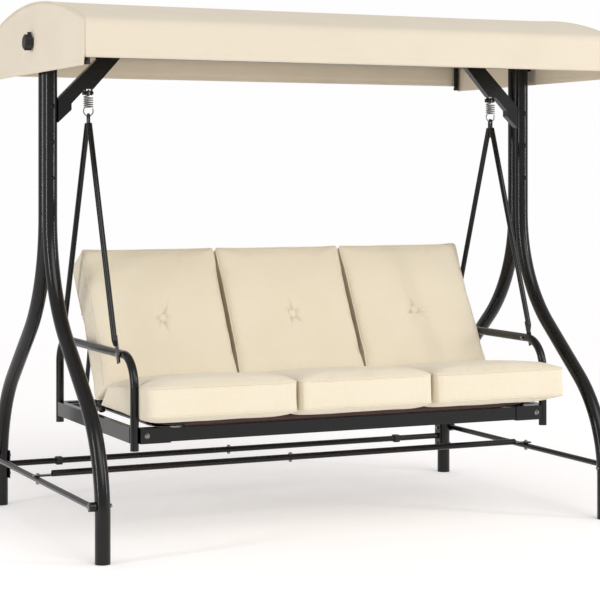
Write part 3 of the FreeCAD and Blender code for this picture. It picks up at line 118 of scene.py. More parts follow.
def add_node(tree: Tree, kind: str, props: dict | None = None, values: dict | None = None,
             links: dict | None = None) -> Node:
    """Adds a shader node with its settings, socket values and incoming links.

    Args:
        tree: Node tree that gets the node.
        kind: Blender's type name of the node.
        props: Node properties by name.
        values: Input socket values by socket name or index.
        links: Output sockets that feed this node's inputs, by input name or index.

    Returns:
        The new node.
    """
    node = tree.nodes.new(kind)
    for name, value in (props or {}).items():
        setattr(node, name, value)
    for name, value in (values or {}).items():
        node.inputs[name].default_value = value
    for name, source in (links or {}).items():
        tree.links.new(source, node.inputs[name])
    return node


def combine(tree: Tree, operation: str, first: Socket, second: Socket,
            share: float | None = None) -> Socket:
    """Joins two grey values with a math node.

    Args:
        tree: Node tree.
        operation: Blender's name of the operation.
        first: First value.
        second: Second value.
        share: If given, the operation is first times share plus second.

    Returns:
        The result's output.
    """
    weighted = share is not None
    node = add_node(tree, "ShaderNodeMath", props={"operation": operation},
                    values={1: share} if weighted else None,
                    links={0: first, 2 if weighted else 1: second})
    return node.outputs["Value"]


@dataclass(frozen=True)
class Finish:
    """What every finish has: a name, its sRGB colours and how it meets the light."""

    name: str
    colour: str
    shade: str
    roughness: float
    metallic: float = 0.0
    ior: float = 1.5
    wave_unit: float = 0.314

    def build(self) -> bpy.types.Material:
        """Makes the material once and returns it after that."""
        found = bpy.data.materials.get(self.name)
        if found:
            return found
        material = bpy.data.materials.new(self.name)
        material.use_nodes = True
        tree = material.node_tree
        tree.nodes.clear()
        place = add_node(tree, "ShaderNodeTexCoord").outputs["Object"]
        shader = add_node(tree, "ShaderNodeBsdfPrincipled", values={
            "Metallic": self.metallic, "IOR": self.ior, "Roughness": self.roughness})
        self.detail(tree, place, shader)
        add_node(tree, "ShaderNodeOutputMaterial", links={"Surface": shader.outputs["BSDF"]})
        return material

    def detail(self, tree: Tree, place: Socket, shader: Node) -> None:
        """Adds the finish's own colour, roughness and bump to the shader."""
        raise NotImplementedError

    def mottle(self, tree: Tree, place: Socket, patch: float) -> Socket:
        """Soft random patches.

        Args:
            tree: Node tree.
            place: Position output.
            patch: Size of a patch in metres.

        Returns:
            A grey value output around one half.
        """
        cloud = add_node(tree, "ShaderNodeTexNoise",
                         values={"Scale": 1 / patch, "Detail": 3.0, "Roughness": 0.55},
                         links={"Vector": place})
        return cloud.outputs["Fac"]

    def bump(self, tree: Tree, height: Socket, shader: Node, strength: float, distance: float) -> None:
        """Raises the surface by a grey value, with a strength from 0 to 1 and a distance in metres."""
        bump = add_node(tree, "ShaderNodeBump", values={"Strength": strength, "Distance": distance},
                        links={"Height": height})
        tree.links.new(bump.outputs["Normal"], shader.inputs["Normal"])

    def ribs(self, tree: Tree, place: Socket, spacing: float, operation: str, **extra: float) -> Socket:
        """Even bands along the three axes. At scale 1 the wave texture repeats every wave_unit metres.

        Args:
            tree: Node tree.
            place: Position output.
            spacing: Distance between bands in metres.
            operation: How the three sets of bands are joined.
            **extra: More values of the wave texture.

        Returns:
            The joined grey value.
        """
        joined = None
        for direction in ("X", "Y", "Z"):
            wave = add_node(tree, "ShaderNodeTexWave", props={"bands_direction": direction},
                            values={"Scale": self.wave_unit / spacing, **extra}, links={"Vector": place})
            band = wave.outputs["Fac"]
            joined = band if joined is None else combine(tree, operation, joined, band)
        return joined

    def two_tone(self, tree: Tree, amount: Socket, shader: Node, low: float, high: float) -> None:
        """Runs the base colour from shade to colour as a grey value goes from low to high."""
        ramp = add_node(tree, "ShaderNodeValToRGB", links={"Fac": amount})
        ramp.color_ramp.elements[0].position = low
        ramp.color_ramp.elements[1].position = high
        ramp.color_ramp.elements[0].color = linear(self.shade)
        ramp.color_ramp.elements[1].color = linear(self.colour)
        tree.links.new(ramp.outputs["Color"], shader.inputs["Base Color"])

    def dress(self, *pieces: Piece) -> None:
        """Gives this finish to every slot of the pieces."""
        material = self.build()
        for piece in pieces:
            if not piece.data.materials:
                piece.data.materials.append(material)
            for index in range(len(piece.data.materials)):
                piece.data.materials[index] = material


@dataclass(frozen=True)
class PowderCoatedSteel(Finish):
    """Polyester powder baked on steel tube: satin black with a faint orange peel in its gloss."""

    peel: float = 2.5 * MM
    smoother: float = 0.03
    rougher: float = 0.05

    def detail(self, tree: Tree, place: Socket, shader: Node) -> None:
        """Orange peel bump, dusty patches in the colour and a roughness that wanders a little."""
        dust = self.mottle(tree, place, patch=90 * MM)
        self.two_tone(tree, dust, shader, low=0.35, high=0.75)
        limits = {"To Min": self.roughness - self.smoother, "To Max": self.roughness + self.rougher}
        spread = add_node(tree, "ShaderNodeMapRange", values=limits, links={"Value": dust})
        tree.links.new(spread.outputs["Result"], shader.inputs["Roughness"])
        skin = add_node(tree, "ShaderNodeTexNoise", values={"Scale": 1 / self.peel, "Detail": 1.0},
                        links={"Vector": place})
        self.bump(tree, skin.outputs["Fac"], shader, strength=0.03, distance=0.1 * MM)


@dataclass(frozen=True)
class ZincPlatedSteel(Finish):
    """Drawn wire and turned bolts in bright zinc: pale metal with cloudy patches."""

    mark: float = 0.8 * MM

    def detail(self, tree: Tree, place: Socket, shader: Node) -> None:
        """Cloudy plating in the colour and fine tool marks in the bump."""
        self.two_tone(tree, self.mottle(tree, place, patch=6 * MM), shader, low=0.3, high=0.7)
        marks = add_node(tree, "ShaderNodeTexNoise", values={"Scale": 1 / self.mark, "Detail": 2.0},
                         links={"Vector": place})
        self.bump(tree, marks.outputs["Fac"], shader, strength=0.1, distance=0.1 * MM)


@dataclass(frozen=True)
class MouldedPolypropylene(Finish):
    """Injection-moulded polypropylene: black with the fine spark-eroded grain of its mould."""

    grain: float = 0.9 * MM

    def detail(self, tree: Tree, place: Socket, shader: Node) -> None:
        """Fine mould grain in the bump and a slight greying in patches."""
        self.two_tone(tree, self.mottle(tree, place, patch=25 * MM), shader, low=0.3, high=0.8)
        pits = add_node(tree, "ShaderNodeTexVoronoi", values={"Scale": 1 / self.grain},
                        links={"Vector": place})
        self.bump(tree, pits.outputs["Distance"], shader, strength=0.25, distance=0.15 * MM)


@dataclass(frozen=True)
class WovenPolyester(Finish):
    """Plain-woven polyester yarn: a small even grid with thicker slubs and a soft sheen.

    The real threads are 0.5 mm apart, too fine to show, so the grid is drawn as coarse as thread says.
    """

    thread: float = 2.4 * MM
    sheen: float = 0.25

    def detail(self, tree: Tree, place: Socket, shader: Node) -> None:
        """Threads along the three axes, slubs and slow shade changes from handling."""
        total = self.ribs(tree, place, self.thread, "ADD", Distortion=0.6, Detail=1.0)
        slub = self.mottle(tree, place, patch=3 * MM)
        wash = self.mottle(tree, place, patch=160 * MM)
        mixed = combine(tree, "MULTIPLY_ADD", total, wash, share=0.12)
        toned = combine(tree, "MULTIPLY_ADD", slub, mixed, share=0.25)
        self.two_tone(tree, toned, shader, low=0.45, high=0.95)
        height = combine(tree, "MULTIPLY_ADD", slub, total, share=2.0)
        self.bump(tree, height, shader, strength=0.14, distance=0.3 * MM)
        shader.inputs["Sheen Weight"].default_value = self.sheen
        shader.inputs["Sheen Roughness"].default_value = 0.6


@dataclass(frozen=True)
class CoatedMesh(Finish):
    """Open weave of PVC-coated yarn: dark brown cords in a square grid, with the open holes between them
    painted darker as the shade seen through them.
    """

    cord: float = 3.0 * MM

    def detail(self, tree: Tree, place: Socket, shader: Node) -> None:
        """Cords along the three axes; the gaps between them are lower, and darker as painted shade in place
        of open holes.
        """
        weave = self.ribs(tree, place, self.cord, "MAXIMUM")
        # Painted shade: the low parts of the weave, the holes between the cords, take the dark brown colour.
        self.two_tone(tree, weave, shader, low=0.35, high=0.85)
        self.bump(tree, weave, shader, strength=0.6, distance=0.5 * MM)


@dataclass(frozen=True)
class PaintedFloor(Finish):
    """Rolled matt floor paint: off-white with barely visible roller patches, faded out far from the bench."""

    fade_from: float = 3.0
    fade_to: float = 9.0
    lift: float = 0.24

    def detail(self, tree: Tree, place: Socket, shader: Node) -> None:
        """Very faint patches from the roller."""
        self.two_tone(tree, self.mottle(tree, place, patch=0.5), shader, low=0.2, high=0.8)
        away = add_node(tree, "ShaderNodeVectorMath", props={"operation": "LENGTH"}, links={0: place})
        limits = {"From Min": self.fade_from, "From Max": self.fade_to, "To Min": 1.0, "To Max": 0.0}
        fade = add_node(tree, "ShaderNodeMapRange", props={"interpolation_type": "SMOOTHSTEP"}, values=limits,
                        links={"Value": away.outputs["Value"]})
        tree.links.new(fade.outputs["Result"], shader.inputs["Alpha"])
        shader.inputs["Emission Color"].default_value = linear(self.colour)
        shader.inputs["Emission Strength"].default_value = self.lift


BLACK_STEEL = PowderCoatedSteel("powder_coated_steel", "0c0b0b", "080707", 0.2, ior=1.42)
ZINC = ZincPlatedSteel("zinc_plated_steel", "a8a7a5", "737271", 0.25, metallic=1.0)
BLACK_PLASTIC = MouldedPolypropylene("moulded_polypropylene", "1d1c1b", "121110", 0.5, ior=1.49)
NYLON = MouldedPolypropylene("moulded_nylon", "2b2a28", "1c1b1a", 0.45, ior=1.53)
CUSHION_CLOTH = WovenPolyester("cushion_polyester", "e2d8c2", "ded3bb", 0.88, ior=1.45)
CANOPY_CLOTH = WovenPolyester("canopy_polyester", "ddd2be", "d8cdb7", 0.8, ior=1.45, sheen=0.15)
BROWN_MESH = CoatedMesh("coated_mesh", "46291f", "1f110d", 0.62, ior=1.52)
FLOOR_PAINT = PaintedFloor("matt_floor_paint", "f6f4f4", "f5f3f3", 0.9)


# ---- mesh helpers
def fit_out(finish: Finish, body: str, slot: str, *pieces: Piece) -> None:
    """Gives pieces their finish and the body they move with."""
    for piece in pieces:
        finish.dress(piece)
        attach(piece, body)


def make_piece(name: str, points: Array, faces: Sequence[Sequence[int]], smooth: bool = True) -> Piece:
    """Makes a mesh object from points and faces.

    Args:
        name: Name of the piece.
        points: Corner positions, one row each.
        faces: Corner indices of each face.
        smooth: Whether the faces are smooth-shaded.

    Returns:
        The new object, linked to the scene.
    """
    mesh = bpy.data.meshes.new(name)
    mesh.from_pydata([tuple(p) for p in np.asarray(points, float)], [], [tuple(f) for f in faces])
    mesh.update()
    mesh.polygons.foreach_set("use_smooth", [smooth] * len(mesh.polygons))
    piece = bpy.data.objects.new(name, mesh)
    bpy.context.scene.collection.objects.link(piece)
    return piece


def read_points(piece: Piece) -> Array:
    """Corner positions of a piece's mesh as rows."""
    flat = np.empty(len(piece.data.vertices) * 3)
    piece.data.vertices.foreach_get("co", flat)
    return flat.reshape(-1, 3)


def write_points(piece: Piece, points: Array) -> None:
    """Moves a piece's corners to new positions."""
    piece.data.vertices.foreach_set("co", np.asarray(points, float).ravel())
    piece.data.update()


def apply_modifiers(piece: Piece) -> None:
    """Turns a piece's modifiers into its mesh and removes them."""
    graph = bpy.context.evaluated_depsgraph_get()
    solid = bpy.data.meshes.new_from_object(piece.evaluated_get(graph), preserve_all_data_layers=True,
                                            depsgraph=graph)
    old = piece.data
    piece.modifiers.clear()
    piece.data = solid
    bpy.data.meshes.remove(old)


def grid_faces(rows: int, columns: int, wrap_rows: bool = False,
               wrap_columns: bool = False) -> list[tuple[int, ...]]:
    """Faces of a grid of corners stored row by row.

    Args:
        rows: Number of rows.
        columns: Number of corners in a row.
        wrap_rows: Whether the last row joins the first.
        wrap_columns: Whether each row is a ring.

    Returns:
        Four-cornered faces.
    """
    faces = []
    for i in range(rows if wrap_rows else rows - 1):
        for j in range(columns if wrap_columns else columns - 1):
            a, b = i * columns, ((i + 1) % rows) * columns
            k = (j + 1) % columns
            faces.append((a + j, a + k, b + k, b + j))
    return faces


def wire(name: str, line: Array, radius: float, closed: bool = False, sides: int = 10) -> Piece:
    """A round wire or piping along a line.

    Args:
        name: Name of the piece.
        line: Points of the centre line.
        radius: Radius of the wire.
        closed: Whether the line is a ring.
        sides: Number of faces around the wire.

    Returns:
        The wire as a mesh object with closed ends.
    """
    line = np.asarray(line, float)
    count = len(line)
    ahead = np.roll(line, -1, axis=0) - np.roll(line, 1, axis=0)
    if not closed:
        ahead[0] = line[1] - line[0]
        ahead[-1] = line[-1] - line[-2]
    ahead /= np.linalg.norm(ahead, axis=1)[:, None]
    across = np.cross(ahead[0], SKEW)
    across /= np.linalg.norm(across)
    rows = []
    sweep = np.linspace(0, 2 * math.pi, sides, endpoint=False)
    for point, direction in zip(line, ahead):
        across = across - direction * np.dot(across, direction)
        across /= np.linalg.norm(across)
        other = np.cross(direction, across)
        rows.append(point + radius * (np.cos(sweep)[:, None] * across + np.sin(sweep)[:, None] * other))
    faces = grid_faces(count, sides, wrap_rows=closed, wrap_columns=True)
    if not closed:
        faces += [tuple(range(sides))[::-1], tuple((count - 1) * sides + k for k in range(sides))]
    return make_piece(name, np.vstack(rows), faces)


def smooth_line(line: Array, rounds: int, closed: bool = True) -> Array:
    """Averages each point of a line with its neighbours a few times."""
    line = np.asarray(line, float)
    for _ in range(rounds):
        blurred = (np.roll(line, 1, axis=0) + 2 * line + np.roll(line, -1, axis=0)) / 4
        if not closed:
            blurred[0], blurred[-1] = line[0], line[-1]
        line = blurred
    return line


def ripple(points: Array, scale: float, seed: float) -> Array:
    """Smooth noise from -1 to 1 at each point, with waves about one scale long."""
    shift = Vector((seed, seed * 1.7, seed * 0.6))
    return np.array([noise.noise(Vector(p) / scale + shift) for p in points])


def middle_of(node: str) -> Vector:
    """Centre of a frame node's box."""
    low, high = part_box(node)
    return (low + high) / 2


def joint_place(name: str) -> Sequence[float]:
    """Where a joint of the frame stands."""
    return next(joint for joint in frame["joints"] if joint["name"] == name)["pos_m"]


# ---- studio
@dataclass
class Studio:
    """Camera, soft light and a pale floor."""

    lens_mm: float = 112.39
    sensor_mm: float = 36.0
    sight: float = 100.0
    place: Triple = (-2.7725, -6.0939, 1.2)
    turn_deg: float = -24.579
    shift_y: float = -0.2072
    floor_half: float = 10.0
    surround_level: float = 0.64
    key_level: float = 1.02
    key_spread_deg: float = 40.0
    key_down_deg: float = 54.0
    key_turn_deg: float = 8.0
    key_colour: Triple = (1.0, 0.985, 0.96)
    surround_colour: tuple[float, float, float, float] = (1.0, 0.99, 0.992, 1.0)
    boxes: tuple = (("left_box", (-5.5, -1.5, 1.8), 72.0), ("right_box", (4.8, -4.2, 2.2), 86.0))
    box_size: Pair = (0.3, 3.0)
    box_aim: Triple = (0.0, 0.0, 0.9)

    def build(self) -> None:
        """Makes the camera, the lights and the floor."""
        data = bpy.data.cameras.new("camera")
        data.lens = self.lens_mm
        data.sensor_width = self.sensor_mm
        data.shift_y = self.shift_y
        data.clip_end = self.sight
        camera = bpy.data.objects.new("camera", data)
        camera.location = self.place
        camera.rotation_euler = (math.radians(90), 0, math.radians(self.turn_deg))
        bpy.context.scene.collection.objects.link(camera)
        bpy.context.scene.camera = camera
        bpy.context.scene.view_settings.view_transform = "Standard"
        self.light()
        half = self.floor_half
        corners = np.array([(-half, -half, 0), (half, -half, 0), (half, half, 0), (-half, half, 0)])
        floor = make_piece("floor", corners, [(0, 1, 2, 3)], smooth=False)
        FLOOR_PAINT.dress(floor)
        floor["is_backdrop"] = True

    def light(self) -> None:
        """A dim surround behind a white backdrop, a broad lamp from the front left and two strip boxes."""
        world = bpy.data.worlds.new("surround")
        world.use_nodes = True
        tree = world.node_tree
        surround = tree.nodes["Background"]
        seen = add_node(tree, "ShaderNodeLightPath").outputs["Is Camera Ray"]
        level = add_node(tree, "ShaderNodeMapRange",
                         values={"To Min": self.surround_level, "To Max": 1.0},
                         links={"Value": seen})
        tree.links.new(level.outputs["Result"], surround.inputs["Strength"])
        surround.inputs["Color"].default_value = self.surround_colour
        bpy.context.scene.world = world
        lamp = bpy.data.lights.new("key", "SUN")
        lamp.energy = self.key_level
        lamp.angle = math.radians(self.key_spread_deg)
        lamp.color = self.key_colour
        key = bpy.data.objects.new("key", lamp)
        key.rotation_euler = (math.radians(self.key_down_deg), 0, math.radians(self.key_turn_deg))
        bpy.context.scene.collection.objects.link(key)
        for name, place, watts in self.boxes:
            panel = bpy.data.lights.new(name, "AREA")
            panel.shape = "RECTANGLE"
            panel.size, panel.size_y = self.box_size
            panel.energy = watts
            box = bpy.data.objects.new(name, panel)
            box.location = place
            box.rotation_euler = (Vector(self.box_aim) - Vector(place)).to_track_quat("-Z", "Y").to_euler()
            bpy.context.scene.collection.objects.link(box)


# ---- steel and plastic of the frame
@dataclass
class Hardware:
    """Frame nodes that keep their shape and get a finish."""

    zinc: tuple[str, ...] = ("stretcher_bolts", "canopy_pivot_bolts", "seat_bolts", "prop_bolts")
    plastic: tuple[str, ...] = ("foot_caps", "arm_plugs", "canopy_end_caps", "knob_left", "knob_right",
                                "rear_stretcher_clamps")
    nylon: tuple[str, ...] = ("spring_bushes",)
    soft: tuple[str, ...] = ("seat_sling", "back_sling", "back_buttons", "canopy_cover", "spring_left",
                             "spring_right")

    def dress(self) -> None:
        """Gives each rigid node its own finish."""
        for name, node in frame["nodes"].items():
            if name in self.soft or "cushion" in name:
                continue
            finish: Finish = BLACK_STEEL
            if name in self.zinc:
                finish = ZINC
            elif name in self.plastic:
                finish = BLACK_PLASTIC
            elif name in self.nylon:
                finish = NYLON
            finish.dress(node)
        LOG.info("dressed the rigid nodes")


@dataclass
class HangerSpring:
    """One tension spring of drawn wire: top eye, five turns and an open bottom hook."""

    side: str
    wire_radius: float = 2.1 * MM
    coil_radius: float = 15.25 * MM
    turns: float = 5.0
    coil_low: float = 1.430
    coil_high: float = 1.467
    eye_radius: float = 10.0 * MM
    hook_radius: float = 17.0 * MM
    per_turn: int = 28
    entry: float = 0.6
    entry_gap: float = 0.6 * MM
    hook_from_deg: float = 30.0
    hook_to_deg: float = -205.0
    eye_to_deg: float = 262.0

    def line(self) -> Array:
        """Centre line of the wire from the hook's tip to the closed eye, about the spring's own axis."""
        low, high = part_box("spring_" + self.side)
        hook_z = low.z + self.wire_radius + self.hook_radius
        eye_z = high.z - self.wire_radius - self.eye_radius
        hook = np.radians(np.linspace(self.hook_from_deg, self.hook_to_deg, 26))
        parts = [(self.hook_radius * math.cos(a), 0,
                  hook_z + self.hook_radius * math.sin(a)) for a in hook]
        steps = int(self.turns * self.per_turn)
        for k in range(steps + 1):
            angle = math.pi + 2 * math.pi * self.turns * k / steps
            z = self.coil_low + (self.coil_high - self.coil_low) * k / steps
            parts.append((self.coil_radius * math.cos(angle), self.coil_radius * math.sin(angle), z))
        parts.append((-self.coil_radius * self.entry, 0, eye_z - self.eye_radius - self.entry_gap))
        ring = np.radians(np.linspace(-90, self.eye_to_deg, 40))
        parts += [(0.0, self.eye_radius * math.cos(a),
                   eye_z + self.eye_radius * math.sin(a)) for a in ring]
        return np.array(parts)

    def build(self) -> None:
        """Makes the wire, stretches it between hanger and seat and hides the plain spring."""
        centre = middle_of("spring_" + self.side)
        line = smooth_line(self.line(), 1, closed=False) + np.array((centre.x, centre.y, 0))
        piece = wire("spring_wire_" + self.side, line, self.wire_radius, sides=12)
        ZINC.dress(piece)
        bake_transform(piece)
        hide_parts("spring_" + self.side)
        LOG.info("spring %s", self.side)


# ---- cushions
@dataclass
class Cushion:
    """A boxed foam cushion in woven cloth with piping round both faces.

    The cushion is drawn on a block of points (u, v, w), each from -1 to 1: u along the bench, v from its
    front or bottom end to the other, and w from its back or under face to the face one leans on.
    """

    name: str
    node: str
    body: str
    seed: float
    counts: tuple[int, int, int] = (56, 58, 12)
    inset: float = 0.5 * MM
    cap: float = 12 * MM
    pressure: float = 3.5
    side_give: float = 0.25
    piping: float = 2.2 * MM
    pucker: float = 0.7 * MM
    pucker_step: float = 24 * MM
    lump: float = 1.6 * MM
    lump_size: float = 110 * MM
    fine_lump: float = 0.5 * MM
    fine_size: float = 35 * MM
    swell_from: float = 30 * MM
    drift_size: float = 60 * MM
    gather_from: float = 3 * MM
    gather_reach: float = 22 * MM
    tuck: float = 0.6 * MM
    tuck_reach: float = 6 * MM
    proud: float = 1.6 * MM
    frames: int = 20
    fill: float = 0.75

    def place(self, u: Array, v: Array, w: Array) -> Array:
        """Real positions of block points."""
        raise NotImplementedError

    def spans(self) -> Triple:
        """Length, depth and thickness of the cushion."""
        raise NotImplementedError

    def run(self, u: Array, pinch: Array, proud: Array | float, side_from: float) -> Array:
        """Places along the bench, drawn in by pinch and pushed out by proud on the outermost side."""
        low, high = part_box(self.node)
        half = (high.x - low.x) / 2 - self.inset
        middle = (low.x + high.x) / 2
        outer = ease(outer_side(self.node, u), side_from, 1.0)
        return middle + half * u * pinch + np.sign(middle) * proud * outer

    def block(self) -> tuple[Array, list[tuple[int, ...]]]:
        """Points and faces of the block's skin, with shared corners."""
        index: dict[tuple[int, int, int], int] = {}
        keys: list[tuple[int, int, int]] = []
        faces: list[tuple[int, ...]] = []

        def corner(key: tuple[int, int, int]) -> int:
            """Number of a skin point, made when first asked for."""
            if key not in index:
                index[key] = len(keys)
                keys.append(key)
            return index[key]

        for axis in range(3):
            p, q = [i for i in range(3) if i != axis]
            for end in (0, self.counts[axis]):
                for a in range(self.counts[p]):
                    for b in range(self.counts[q]):
                        ring = []
                        for da, db in ((0, 0), (1, 0), (1, 1), (0, 1)):
                            key = [0, 0, 0]
                            key[axis], key[p], key[q] = end, a + da, b + db
                            ring.append(corner((key[0], key[1], key[2])))
                        outward = (end > 0) == (axis != 1)
                        faces.append(tuple(ring if outward else ring[::-1]))
        spots = np.array(keys, float) / np.array(self.counts) * 2 - 1
        return spots, faces

    def puff(self, piece: Piece) -> None:
        """Blows the cover up a little with a cloth simulation and caps how far it moves."""
        before = read_points(piece)
        cloth = piece.modifiers.new("puff", "CLOTH")
        settings = {"quality": 4, "mass": 0.3, "tension_stiffness": 12, "compression_stiffness": 12,
                    "shear_stiffness": 6, "bending_stiffness": 0.6, "use_pressure": True,
                    "uniform_pressure_force": self.pressure}
        for name, value in settings.items():
            setattr(cloth.settings, name, value)
        cloth.settings.effector_weights.gravity = 0.0
        cloth.collision_settings.use_collision = False
        cloth.point_cache.frame_start = 1
        cloth.point_cache.frame_end = self.frames
        for moment in range(1, self.frames + 1):
            bpy.context.scene.frame_set(moment)
        apply_modifiers(piece)
        bpy.context.scene.frame_set(1)
        move = (read_points(piece) - before) * np.array((self.side_give, 1.0, 1.0))
        length = np.linalg.norm(move, axis=1)
        short = self.cap * np.tanh(length / self.cap)
        scale = np.where(length > TINY, short / np.maximum(length, TINY), 1.0)
        write_points(piece, before + move * scale[:, None])

    def refine(self, piece: Piece, spots: Array) -> Array:
        """Subdivides the cover once and returns each new point's place on the block."""
        layer = piece.data.attributes.new("spot", "FLOAT_VECTOR", "POINT")
        layer.data.foreach_set("vector", spots.ravel())
        step = piece.modifiers.new("finer", "SUBSURF")
        step.levels = 1
        apply_modifiers(piece)
        flat = np.empty(len(piece.data.vertices) * 3)
        piece.data.attributes["spot"].data.foreach_get("vector", flat)
        return flat.reshape(-1, 3)

    def seam_rings(self) -> list[Array]:
        """Block points along the piped edge of the lower and the upper face."""
        nu, nv = self.counts[0], self.counts[1]
        steps_u = [-1 + 2 * i / nu for i in range(nu)]
        steps_v = [-1 + 2 * i / nv for i in range(nv)]
        lap = [(u, -1.0) for u in steps_u] + [(1.0, v) for v in steps_v]
        lap += [(-u, 1.0) for u in steps_u] + [(-1.0, -v) for v in steps_v]
        return [np.array([(u, v, w) for u, v in lap]) for w in (-1.0, 1.0)]

    def sew(self, piece: Piece, spots: Array) -> None:
        """Draws in the cloth beside the seams, puckers it and gives the faces a used, uneven swell."""
        points = read_points(piece)
        normals = np.empty(len(piece.data.vertices) * 3)
        piece.data.vertices.foreach_get("normal", normals)
        normals = normals.reshape(-1, 3)
        spans = np.array(self.spans()) / 2
        gaps = (1 - np.abs(spots)) * spans
        order = np.sort(gaps, axis=1)
        seam_gap = np.where(np.abs(spots[:, 2]) > 0.999, order[:, 1], gaps[:, 2])
        along = spots[:, 0] * spans[0] + spots[:, 1] * spans[1]
        drift = 2.5 * ripple(points, self.drift_size, self.seed)
        wave = np.sin(2 * math.pi * along / self.pucker_step + drift)
        tuck = -self.tuck * np.exp(-seam_gap / self.tuck_reach)
        gather = self.pucker * wave * np.exp(-seam_gap / self.gather_reach)
        gather *= 1 - np.exp(-seam_gap / self.gather_from)
        swell = self.lump * ripple(points, self.lump_size, self.seed + 9)
        swell += self.fine_lump * ripple(points, self.fine_size, self.seed + 4)
        swell *= 1 - np.exp(-seam_gap / self.swell_from)
        shape = self.shape(points, spots)
        write_points(piece, points + normals * (tuck + gather + swell + shape)[:, None])

    def shape(self, points: Array, spots: Array) -> Array:
        """Extra height along the normal that this kind of cushion has."""
        return np.zeros(len(points))

    def pipe(self, piece: Piece) -> list[Piece]:
        """Sews a round piping along both seam rings, following the finished cover."""
        points = read_points(piece)
        tree = KDTree(len(points))
        for number, point in enumerate(points):
            tree.insert(point, number)
        tree.balance()
        cords = []
        for number, ring in enumerate(self.seam_rings()):
            raw = self.place(ring[:, 0], ring[:, 1], ring[:, 2])
            centre = points.mean(axis=0)
            line = np.array([points[tree.find(p)[1]] for p in raw])
            line = smooth_line(line, 3)
            out = line - centre
            line = line + out / np.linalg.norm(out, axis=1)[:, None] * self.proud
            name = "%s_piping_%d" % (self.name, number)
            cords.append(wire(name, line, self.piping, closed=True, sides=8))
        return cords

    def build(self) -> Piece:
        """Makes the cover and its piping and puts them on their body."""
        spots, faces = self.block()
        start = self.place(spots[:, 0], spots[:, 1], spots[:, 2])
        piece = make_piece(self.name, start, faces)
        self.puff(piece)
        fine = self.refine(piece, spots)
        self.sew(piece, fine)
        cords = self.pipe(piece)
        fit_out(CUSHION_CLOTH, self.body, Cloth.CUSHION.value, piece, *cords)
        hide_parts(self.node)
        LOG.info("%s: %d points", self.name, len(piece.data.vertices))
        return piece


def ease(value: Array, low: float, high: float) -> Array:
    """Smooth step from 0 at low to 1 at high."""
    t = np.clip((value - low) / (high - low), 0, 1)
    return t * t * (3 - 2 * t)


def round_corners(u: Array, v: Array, spans: Triple, radius: float) -> tuple[Array, Array]:
    """Rounds the four corners of the block seen on its broad face.

    Args:
        u: Block places along the bench.
        v: Block places across it.
        spans: Real sizes of the cushion.
        radius: Corner radius in metres.

    Returns:
        The new u and v.
    """
    half = (spans[0] / 2, spans[1] / 2)
    past = [np.maximum(np.abs(c) * h - (h - radius), 0) for c, h in zip((u, v), half)]
    reach = np.maximum(*past)
    shrink = np.where(reach > 0, reach / np.maximum(np.hypot(*past), TINY), 1.0)
    turned = [np.sign(c) * (h - radius + p * shrink) / h for c, h, p in zip((u, v), half, past)]
    return np.where(past[0] > 0, turned[0], u), np.where(past[1] > 0, turned[1], v)


def outer_side(node: str, u: Array) -> Array:
    """u turned so that 1 is a cushion's outermost side, and 0 everywhere on the middle cushion."""
    x = middle_of(node).x
    return u * np.sign(x) if abs(x) > 0.1 else np.zeros(len(u))


@dataclass
class SeatCushion(Cushion):
    """Seat part: its front edge is thick and high, its rear end slopes under the backrest."""

    front_low: Pair = (-0.597, 0.4385)
    front_high: Pair = (-0.588, 0.537)
    rear_low: Pair = (-0.004, 0.4205)
    rear_high: Pair = (-0.082, 0.491)
    crown: float = 20 * MM
    rest_from: float = -0.446
    corner: float = 34 * MM
    widen: float = 7 * MM
    arm_at: float = -0.428
    bulge: float = 15 * MM
    waist: float = 0.012
    belly: float = 3 * MM
    dent_width: float = 26 * MM
    bulge_run: Pair = (0.44, 0.47)
    dome_stretch: float = 1.35
    dome_shift: float = 0.62

    def place(self, u: Array, v: Array, w: Array) -> Array:
        """Blends the four edges of the side outline and raises a crown on the top face."""
        u, v = round_corners(u, v, self.spans(), self.corner)
        t, s = (v + 1) / 2, (w + 1) / 2
        corners = [np.array(c) for c in (self.front_low, self.rear_low, self.rear_high, self.front_high)]
        share = ((1 - t) * (1 - s), t * (1 - s), t * s, (1 - t) * s)
        y = sum(k * c[0] for k, c in zip(share, corners))
        z = sum(k * c[1] for k, c in zip(share, corners))
        lift = self.front_low[1] - self.rear_low[1]
        flat = self.rear_low[1] + lift * ease(-y, -self.rest_from, -self.front_low[0])
        z = z + (1 - s) * (flat - (corners[0][1] * (1 - t) + corners[1][1] * t))
        dome = (1 - u ** 4) * (1 - (self.dome_stretch * t - self.dome_shift) ** 4).clip(0, 1)
        dome *= 1 - np.abs(1 - 2 * t) ** 6
        z = z + self.crown * s * dome
        y = y - self.belly * (1 - t) * (1 - w ** 2) * (1 - u ** 6)
        dent = 1 - np.exp(-((y - self.arm_at) / self.dent_width) ** 2)
        proud = self.widen * dent + self.bulge * ease(-y, *self.bulge_run)
        x = self.run(u, 1 - self.waist * (1 - v ** 2) * (1 - w ** 2), proud, 0.5)
        return np.stack([x, y, z], axis=1)

    def spans(self) -> Triple:
        """Length, depth and thickness of the seat cushion."""
        low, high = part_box(self.node)
        return (high.x - low.x, high.y - low.y - 0.05, 0.09)


